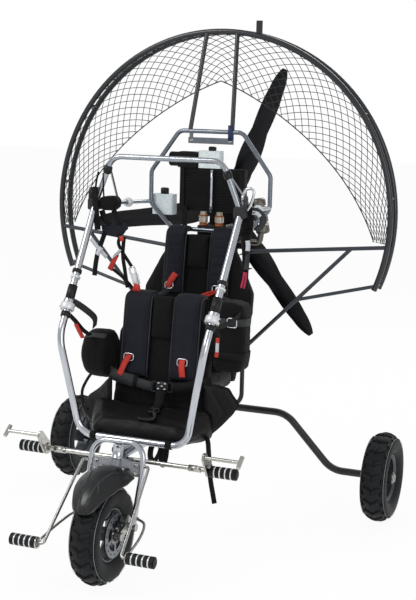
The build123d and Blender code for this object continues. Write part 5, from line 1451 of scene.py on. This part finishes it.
class TRIKE_OT_steering(bpy.types.Operator):
    """Head sleeve, crown bolts, peg rings, braces and axle nuts of the steering"""
    bl_idname = "trike.steering"
    bl_label = "Steering trim"

    def execute(self, context):
        sleeve = turned("head_sleeve", [(-0.0465, 0.0191), (-0.0465, 0.0212), (-0.042, 0.0212),
                (-0.041, 0.0200), (0.001, 0.0200), (0.002, 0.0212), (0.0055, 0.0212), (0.0055, 0.0191)],
            on_head(0, 0, 0), HEAD_UP, polished_tube, 48)
        knob = turned("neck_knob", [(0, 0), (0, 0.009), (0.012, 0.009), (0.013, 0.015), (0.030, 0.0155),
                (0.034, 0.012), (0.034, 0)], place(-8, 163, 474), (-1, 0, 0), black_plastic, 28)
        fitted("head_sleeves", [sleeve, knob], "grey_tube")
        for name, start, behind, height, body in (("upper", 350.3, 188, 433.7, "frame"),
                ("lower", 184, -168, 184, "fork")):
            rings = []
            for side in (-1, 1):
                for number in range(4):
                    rings.append(turned("peg_ring", [(-0.0030, 0.0165), (-0.0030, 0.0212),
                                (-0.0022, 0.0218), (0.0022, 0.0218), (0.0030, 0.0212), (0.0030, 0.0165)],
                            place(side * (start + 22 * number + 22.66), behind, height), (1, 0, 0),
                            bright_ring, 36))
                flange = start - 4 if name == "lower" else start - 12
                rings.append(turned("peg_flange",
                        [(0, 0.004), (0, 0.021), (0.004, 0.023), (0.0055, 0.021), (0.0055, 0.004)],
                        place(side * flange, behind, height), (side, 0, 0), polished_nickel, 36))
            fitted(name + "_peg_rings", rings, "steel", body)
        braces = []
        for side in (-1, 1):
            braces.append(round_rod("brace", places((side * 108, 62, 252), (side * 150, 44, 240),
                        (side * 172, -40, 216), (side * 181, -160, 190)), 0.0052, polished_nickel, 6, 12))
            braces.append(plain_ring("axle_nut", 0.0102, 0.0165, 0.0062, place(side * 76.3, 0, AXLE_HEIGHT),
                    (side, 0, 0), polished_nickel, 6))
        fitted("peg_braces", braces, "steel", "fork")
        spots = [(on_head(x, 8.3, up), HEAD_AHEAD) for x in (-84, 84) for up in (-60, -92)]
        spots += [(place(side * 112.3, 62, 251), (side, 0, 0)) for side in (-1, 1)]
        settle(bolts("fork_bolts", spots, 0.0055, polished_nickel), "fork", "steel")
        clips = []
        for side in (-1, 1):
            clips.append(plain_ring("lever_sleeve", 0.0092, 0.0125, 0.050, place(side * 262, 195, 433.7),
                    (side, 0, 0), polished_nickel, 32))
        fitted("crossbar_sleeves", clips, "steel")
        settle(bolts("crossbar_bolts", [(place(side * 350.2, y, z), (side, 0, 0)) for side in (-1, 1)
                    for y, z in ((206, 446), (176, 452), (140, 500))], 0.0048, polished_nickel), "frame",
            "steel")
        return {"FINISHED"}


class TRIKE_OT_wheel_trim(bpy.types.Operator):
    """Hub bolts, disc bolts, valve stems and the rear axle's nuts"""
    bl_idname = "trike.wheel_trim"
    bl_label = "Wheel trim"

    def execute(self, context):
        for name, body, across, behind in (("front", "front_wheel", 0, 0),
                ("rear_left", "rear_wheel_left", 750, REAR_AXLE),
                ("rear_right", "rear_wheel_right", -750, REAR_AXLE)):
            spots = []
            for side in (-1, 1):
                disc = name == "front" and side == 1
                face, radius = (53.4, 27) if disc else (48.1, 19)
                for number in range(5):
                    angle = 2 * math.pi * number / 5 + 0.3
                    spots.append((place(across + side * face, behind + radius * math.sin(angle),
                                AXLE_HEIGHT + radius * math.cos(angle)), (side, 0, 0)))
            heads = bolts(name + "_hub_bolts", spots, 0.0034, polished_nickel)
            out = Vector((0, math.sin(VALVE_TURN), math.cos(VALVE_TURN)))
            foot = place(across, behind, AXLE_HEIGHT) + out * 0.087
            stem = round_rod("valve", [foot, foot - out * 0.010, foot - out * 0.022 - Vector((0.006, 0, 0)),
                    foot - out * 0.030 - Vector((0.016, 0, 0))], 0.0032, peg_rubber, 4, 10)
            fitted(name + "_wheel_trim", [heads, stem], "steel", body)
        nuts = []
        for side in (-1, 1):
            nuts.append(plain_ring("washer", 0.0102, 0.018, 0.0014,
                    place(side * 798.6, REAR_AXLE, AXLE_HEIGHT), (side, 0, 0), polished_nickel, 32))
            nuts.append(plain_ring("nut", 0.0102, 0.0155, 0.007,
                    place(side * 800.2, REAR_AXLE, AXLE_HEIGHT), (side, 0, 0), polished_nickel, 6))
        fitted("rear_axle_nuts", nuts, "steel")
        return {"FINISHED"}


class TRIKE_OT_engine_trim(bpy.types.Operator):
    """What is fitted to engine, tanks and propeller: ribs, pleats, bands, caps, seals and bolts"""
    bl_idname = "trike.engine_trim"
    bl_label = "Engine trim"

    def execute(self, context):
        self.starter()
        self.filter()
        self.bands()
        self.fasteners()
        self.tanks()
        return {"FINISHED"}

    def starter(self):
        """Radial ribs and a cap on the starter cover's face"""
        rib = swept("rib", [Vector((0, 0, 0.022)), Vector((0, 0, 0.052))],
            [(-0.0016, -0.0022), (0.0016, -0.0022), (0.0016, 0.0022), (-0.0016, 0.0022)], (0, 1, 0),
            engine_casting)
        ribs = spun("starter_ribs", rib, 20)
        ribs.data.transform(
            Matrix.Translation(place(0, 990.4, 1046)) @ Matrix.Rotation(math.pi / 2, 4, "Z"))
        cap = turned("starter_cap", [(0, 0), (0, 0.020), (0.003, 0.022), (0.006, 0.018), (0.006, 0)],
            place(*STARTER), (0, -1, 0), hub_metal, 40)
        rim = turned("starter_rim", [(0, 0.052), (0.004, 0.053), (0.004, 0.0575), (0, 0.0578)],
            place(*STARTER), (0, -1, 0), engine_casting, 48)
        fitted("starter_cover", [ribs, cap, rim], "engine_black")

    def filter(self):
        """Pleats round the air filter, its end cap and clamp, and the carburettor's top"""
        pleat = swept("pleat", [Vector((-0.021, 0, 0.0295)), Vector((0.021, 0, 0.0295))],
            [(-0.0016, -0.001), (0, 0.0022), (0.0016, -0.001)], (0, 1, 0), filter_foam)
        pleats = spun("filter_pleats", pleat, 40)
        pleats.data.transform(Matrix.Translation(place(-130, 1058, 1150)))
        cap = turned("filter_cap", [(0, 0), (0, 0.0325), (0.004, 0.0325), (0.008, 0.028), (0.008, 0)],
            place(-152, 1058, 1150), (-1, 0, 0), black_plastic, 40)
        clamp = plain_ring("filter_clamp", 0.0212, 0.0232, 0.009, place(-88, 1058, 1150), (-1, 0, 0),
            polished_nickel, 40)
        bowl = turned("bowl",
            [(-0.022, 0), (-0.022, 0.014), (0, 0.016), (0.030, 0.015), (0.034, 0.012), (0.034, 0)],
            place(-66, 1058, 1150), (0, 0, 1), coupling_metal, 32)
        fitted("intake", [pleats, cap, clamp, bowl], "engine_black")

    def bands(self):
        """The two bands round the silencer"""
        axis = place(*SILENCER[1]) - place(*SILENCER[0])
        rings = [turned("band", [(-0.007, 0.0301), (-0.007, 0.0318), (0.007, 0.0318), (0.007, 0.0301)],
                place(*SILENCER[0]) + axis * share, axis, polished_nickel, 48) for share in (0.28, 0.74)]
        fitted("silencer_bands", rings, "steel")

    def fasteners(self):
        """Bolts of the engine plate, head, drive case and exhaust, and the propeller hub's"""
        back_way, front_way = (0, 1, 0), (0, -1, 0)
        spots = [(place(x, 1139, z), back_way) for x, z in ((-50, 1034), (50, 1034), (-51, 1110),
                (51, 1110), (-51, 1200), (51, 1200), (-50, 1300), (50, 1300), (0, 1356), (0, 1034))]
        spots += [(place(x, 1000, z), front_way)
            for x, z in ((-110, 994), (110, 994), (-110, 1205), (110, 1205), (-70, 1205), (70, 1205))]
        spots += [(place(x, y, 1262), (0, 0, 1)) for x in (-54, 54) for y in (1040, 1066, 1096)]
        spots += [(place(x, 967, 1628), front_way) for x in (-88, 88)]
        settle(bolts("engine_bolts", spots, 0.005, polished_nickel), "frame", "steel")
        centre = place(*PROPELLER)
        spots = []
        for turn in range(6):
            angle = math.radians(60 * turn + 52)
            spots.append(
                (centre + Vector((0.024 * math.sin(angle), 0.022, 0.024 * math.cos(angle))), back_way))
        for blade in (22, 142, 262):
            out = Vector((math.sin(math.radians(blade)), 0, math.cos(math.radians(blade))))
            for way in (1, -1):
                for reach in (0.048, 0.064):
                    spots.append((centre + out * reach + Vector((0, way * 0.0218, 0)), (0, way, 0)))
        heads = bolts("hub_bolt_heads", spots, 0.004, polished_nickel)
        nut = plain_ring("shaft_nut", 0.0122, 0.019, 0.010, place(0, 1202, 1320), (0, 1, 0),
            polished_nickel, 6)
        fitted("propeller_bolts", [heads, nut], "steel", "propeller")

    def tanks(self):
        """Caps of header tank and bottle, seals of the fittings, and the stay before the radiator"""
        caps = [
            turned("cap",
                [(0, 0), (0, 0.0150), (0.003, 0.0172), (0.015, 0.0172), (0.018, 0.0140), (0.018, 0)],
                place(-8, 1011, 1584.3), (0, 0, 1), black_plastic, 36),
            turned("cap", [(0, 0.0152), (0, 0.0182), (0.022, 0.0182), (0.026, 0.0150), (0.026, 0),
                    (0.0202, 0), (0.0202, 0.0152)], place(-226, 1007.8, 1390.5), (0, 0, 1), black_plastic,
                36)]
        fitted("tank_caps", caps, "ringed_rubber")
        seals = []
        for across in (-44, 30):
            for height, radius in ((1263, 0.0176), (1303.5, 0.0178), (1270, 0.0166)):
                seals.append(plain_ring("seal", 0.0142, radius, 0.006, place(across, 1012.8, height),
                        (0, 0, 1), seal_rubber, 32))
        seals.append(turned("seal",
                [(0, 0.001), (0, 0.008), (0.012, 0.008), (0.014, 0.005), (0.014, 0.001)],
                place(46, 1008, 1510.2), (0, 0, 1), seal_rubber, 24))
        fitted("orange_seals", seals, "fitting_metal")
        stay = [round_rod("stay", places((5, 978, 1322), (5, 978, 1410), (5, 978, 1505)), 0.0055,
                polished_tube, 2, 14)]
        for height in (1332, 1500):
            stay.append(round_rod("clip", places((5, 978, height), (5, 984, height), (5, 992, height)),
                    0.004, polished_tube, 2, 10))
        fitted("radiator_stay", stay, "polished_tube")
        grip = plain_ring("blue_grip", 0.009, 0.0125, 0.062, place(92, 966, 1634), (0, 0, 1), blue_rubber,
            28)
        settle(grip, "frame", "ringed_rubber")


class TRIKE_OT_wings(bpy.types.Operator):
    """The seat cloth's side wings, and the straps that hang from collars and pan"""
    bl_idname = "trike.wings"
    bl_label = "Wings and straps"

    def execute(self, context):
        sizes = context.scene.trike_seats
        left = [(214, 706), (262, 704), (306, 692), (330, 656), (350, 626), (328, 584), (285, 534),
            (238, 486), (214, 482)]
        right = [(-176, 700), (-214, 672), (-254, 634), (-300, 602), (-334, 566), (-342, 530), (-306, 486),
            (-262, 478), (-180, 480)]
        wings = []
        for name, corners in (("left", left), ("right", right)):
            middle = Vector(
                (sum(x for x, _ in corners) / len(corners), sum(z for _, z in corners) / len(corners)))
            loops = []
            for behind, share in ((-9, 0.93), (-5, 1.0), (5, 1.0), (9, 0.93)):
                loops.append([place(middle.x + (x - middle.x) * share, behind + self.behind(x, z),
                            middle.y + (z - middle.y) * share) for x, z in corners])
            wing = filled(skinned("wing", loops, coated_cloth), 0.006, sizes.pressure, 5)
            inner = middle.x * 0.86
            seam = [[place(x, 438 - 9 + 0.30 * (abs(x) - 214), z)
                    for x, z in ((inner, 690 if name == "left" else 610), (middle.x * 1.05, 590),
                        (inner, 490))]]
            wings.append(sewn(wing, seam, 3, 12))
        whole = joined("seat_wings", wings)
        settle(softened(whole), "frame", "textile")
        self.edging(whole, left, right)
        self.straps()
        return {"FINISHED"}

    def behind(self, x, z):
        """How far behind the front axle a wing's cloth stands: it slants back from the pan's side"""
        past_pan = abs(x) - 214
        return 438 + 0.30 * past_pan + 0.12 * (z - 590) * past_pan / 136

    def edging(self, whole, left, right):
        """Bound edges round the wings"""
        edges = [[place(x, self.behind(x, z), z) for x, z in corners] for corners in (left, right)]
        binding = grown("wing_binding",
            path_curve("binding_paths", [laid(whole, smooth_path(edge, 8), 0.0005) for edge in edges]),
            cords_tree, {"Cord radius": 0.0035, "Material": black_webbing})
        settle(binding, "frame", "textile")

    def straps(self):
        """Webbing from the collars to the bags, and the tails under the seat"""
        straps("hanging_straps", [
                (places((-306, 274, 1016), (-290, 300, 1006), (-275, 360, 972), (-263, 425, 926),
                        (-285, 470, 880)), 0.026, (0.5, 0.6, 0.6), grey_webbing),
                (places((-318, 286, 968), (-308, 340, 926), (-300, 390, 882), (-290, 440, 850)), 0.020,
                    (0.8, 0.2, 0.2), black_webbing),
                (places((320, 284, 966), (323, 350, 958), (330, 440, 966), (334, 500, 980)), 0.020,
                    (0.1, 0, 1), black_webbing),
                (places((312, 286, 966), (306, 330, 930), (296, 380, 908)), 0.018, (1, 0, 0.3),
                    black_webbing),
                (places((-296, 500, 700), (-326, 492, 656), (-341, 476, 612), (-336, 466, 576),
                        (-322, 456, 548), (-300, 446, 540)), 0.012, (1, 0, 0), black_webbing),
                (places((66, 300, 484), (68, 268, 458), (72, 262, 428), (86, 270, 420), (96, 290, 448),
                        (98, 300, 484)), 0.022, (1, 0.4, 0), black_webbing),
                (places((112, 300, 484), (112, 284, 450), (108, 280, 412), (118, 282, 404), (124, 290, 440),
                        (122, 302, 484)), 0.020, (1, 0.4, 0), black_webbing),
                (places((238, 410, 500), (252, 400, 486), (268, 372, 455), (282, 350, 400), (292, 340, 350),
                        (306, 332, 300), (315, 330, 262)), 0.019, (0.8, 0.5, 0), black_webbing, 0.003)])
        straps("pull_tags", [
                (places((-308, 352, 908), (-303, 376, 872), (-300, 396, 846)), 0.016, (1, 0.2, 0),
                    red_webbing, 0.006),
                (places((291, 380, 904), (291, 378, 884)), 0.013, (1, 0, 0), red_webbing, 0.006),
                (places((291, 378, 884), (290, 378, 848)), 0.012, (1, 0, 0), silver_tape, 0.006),
                (places((290, 378, 848), (287, 380, 828)), 0.013, (1, 0, 0), red_webbing, 0.006)])


class TRIKE_PT_panel(bpy.types.Panel):
    """The trike's operators in the sidebar"""
    bl_idname = "TRIKE_PT_panel"
    bl_label = "Trike"
    bl_space_type = "VIEW_3D"
    bl_region_type = "UI"
    bl_category = "Trike"

    def draw(self, context):
        for operator in OPERATORS:
            self.layout.operator(operator.bl_idname)


SETTINGS = {"trike_stage": StageSettings, "trike_tyres": TyreSettings, "trike_net": NetSettings,
    "trike_seats": SeatSettings}
OPERATORS = (TRIKE_OT_stage, TRIKE_OT_finishes, TRIKE_OT_tyres, TRIKE_OT_net, TRIKE_OT_seats, TRIKE_OT_pads,
    TRIKE_OT_belts, TRIKE_OT_bags, TRIKE_OT_hanging, TRIKE_OT_collars, TRIKE_OT_mudguard, TRIKE_OT_steering,
    TRIKE_OT_wheel_trim, TRIKE_OT_engine_trim, TRIKE_OT_wings)


def register():
    for group in SETTINGS.values():
        bpy.utils.register_class(group)
    for name, group in SETTINGS.items():
        setattr(bpy.types.Scene, name, bpy.props.PointerProperty(type=group))
    for kind in (*OPERATORS, TRIKE_PT_panel):
        bpy.utils.register_class(kind)


def unregister():
    for kind in (TRIKE_PT_panel, *reversed(OPERATORS)):
        bpy.utils.unregister_class(kind)
    for name, group in SETTINGS.items():
        delattr(bpy.types.Scene, name)
        bpy.utils.unregister_class(group)


def main():
    register()
    for operator in OPERATORS:
        group, name = operator.bl_idname.split(".")
        getattr(getattr(bpy.ops, group), name)()


if __name__ == "__main__":
    main()
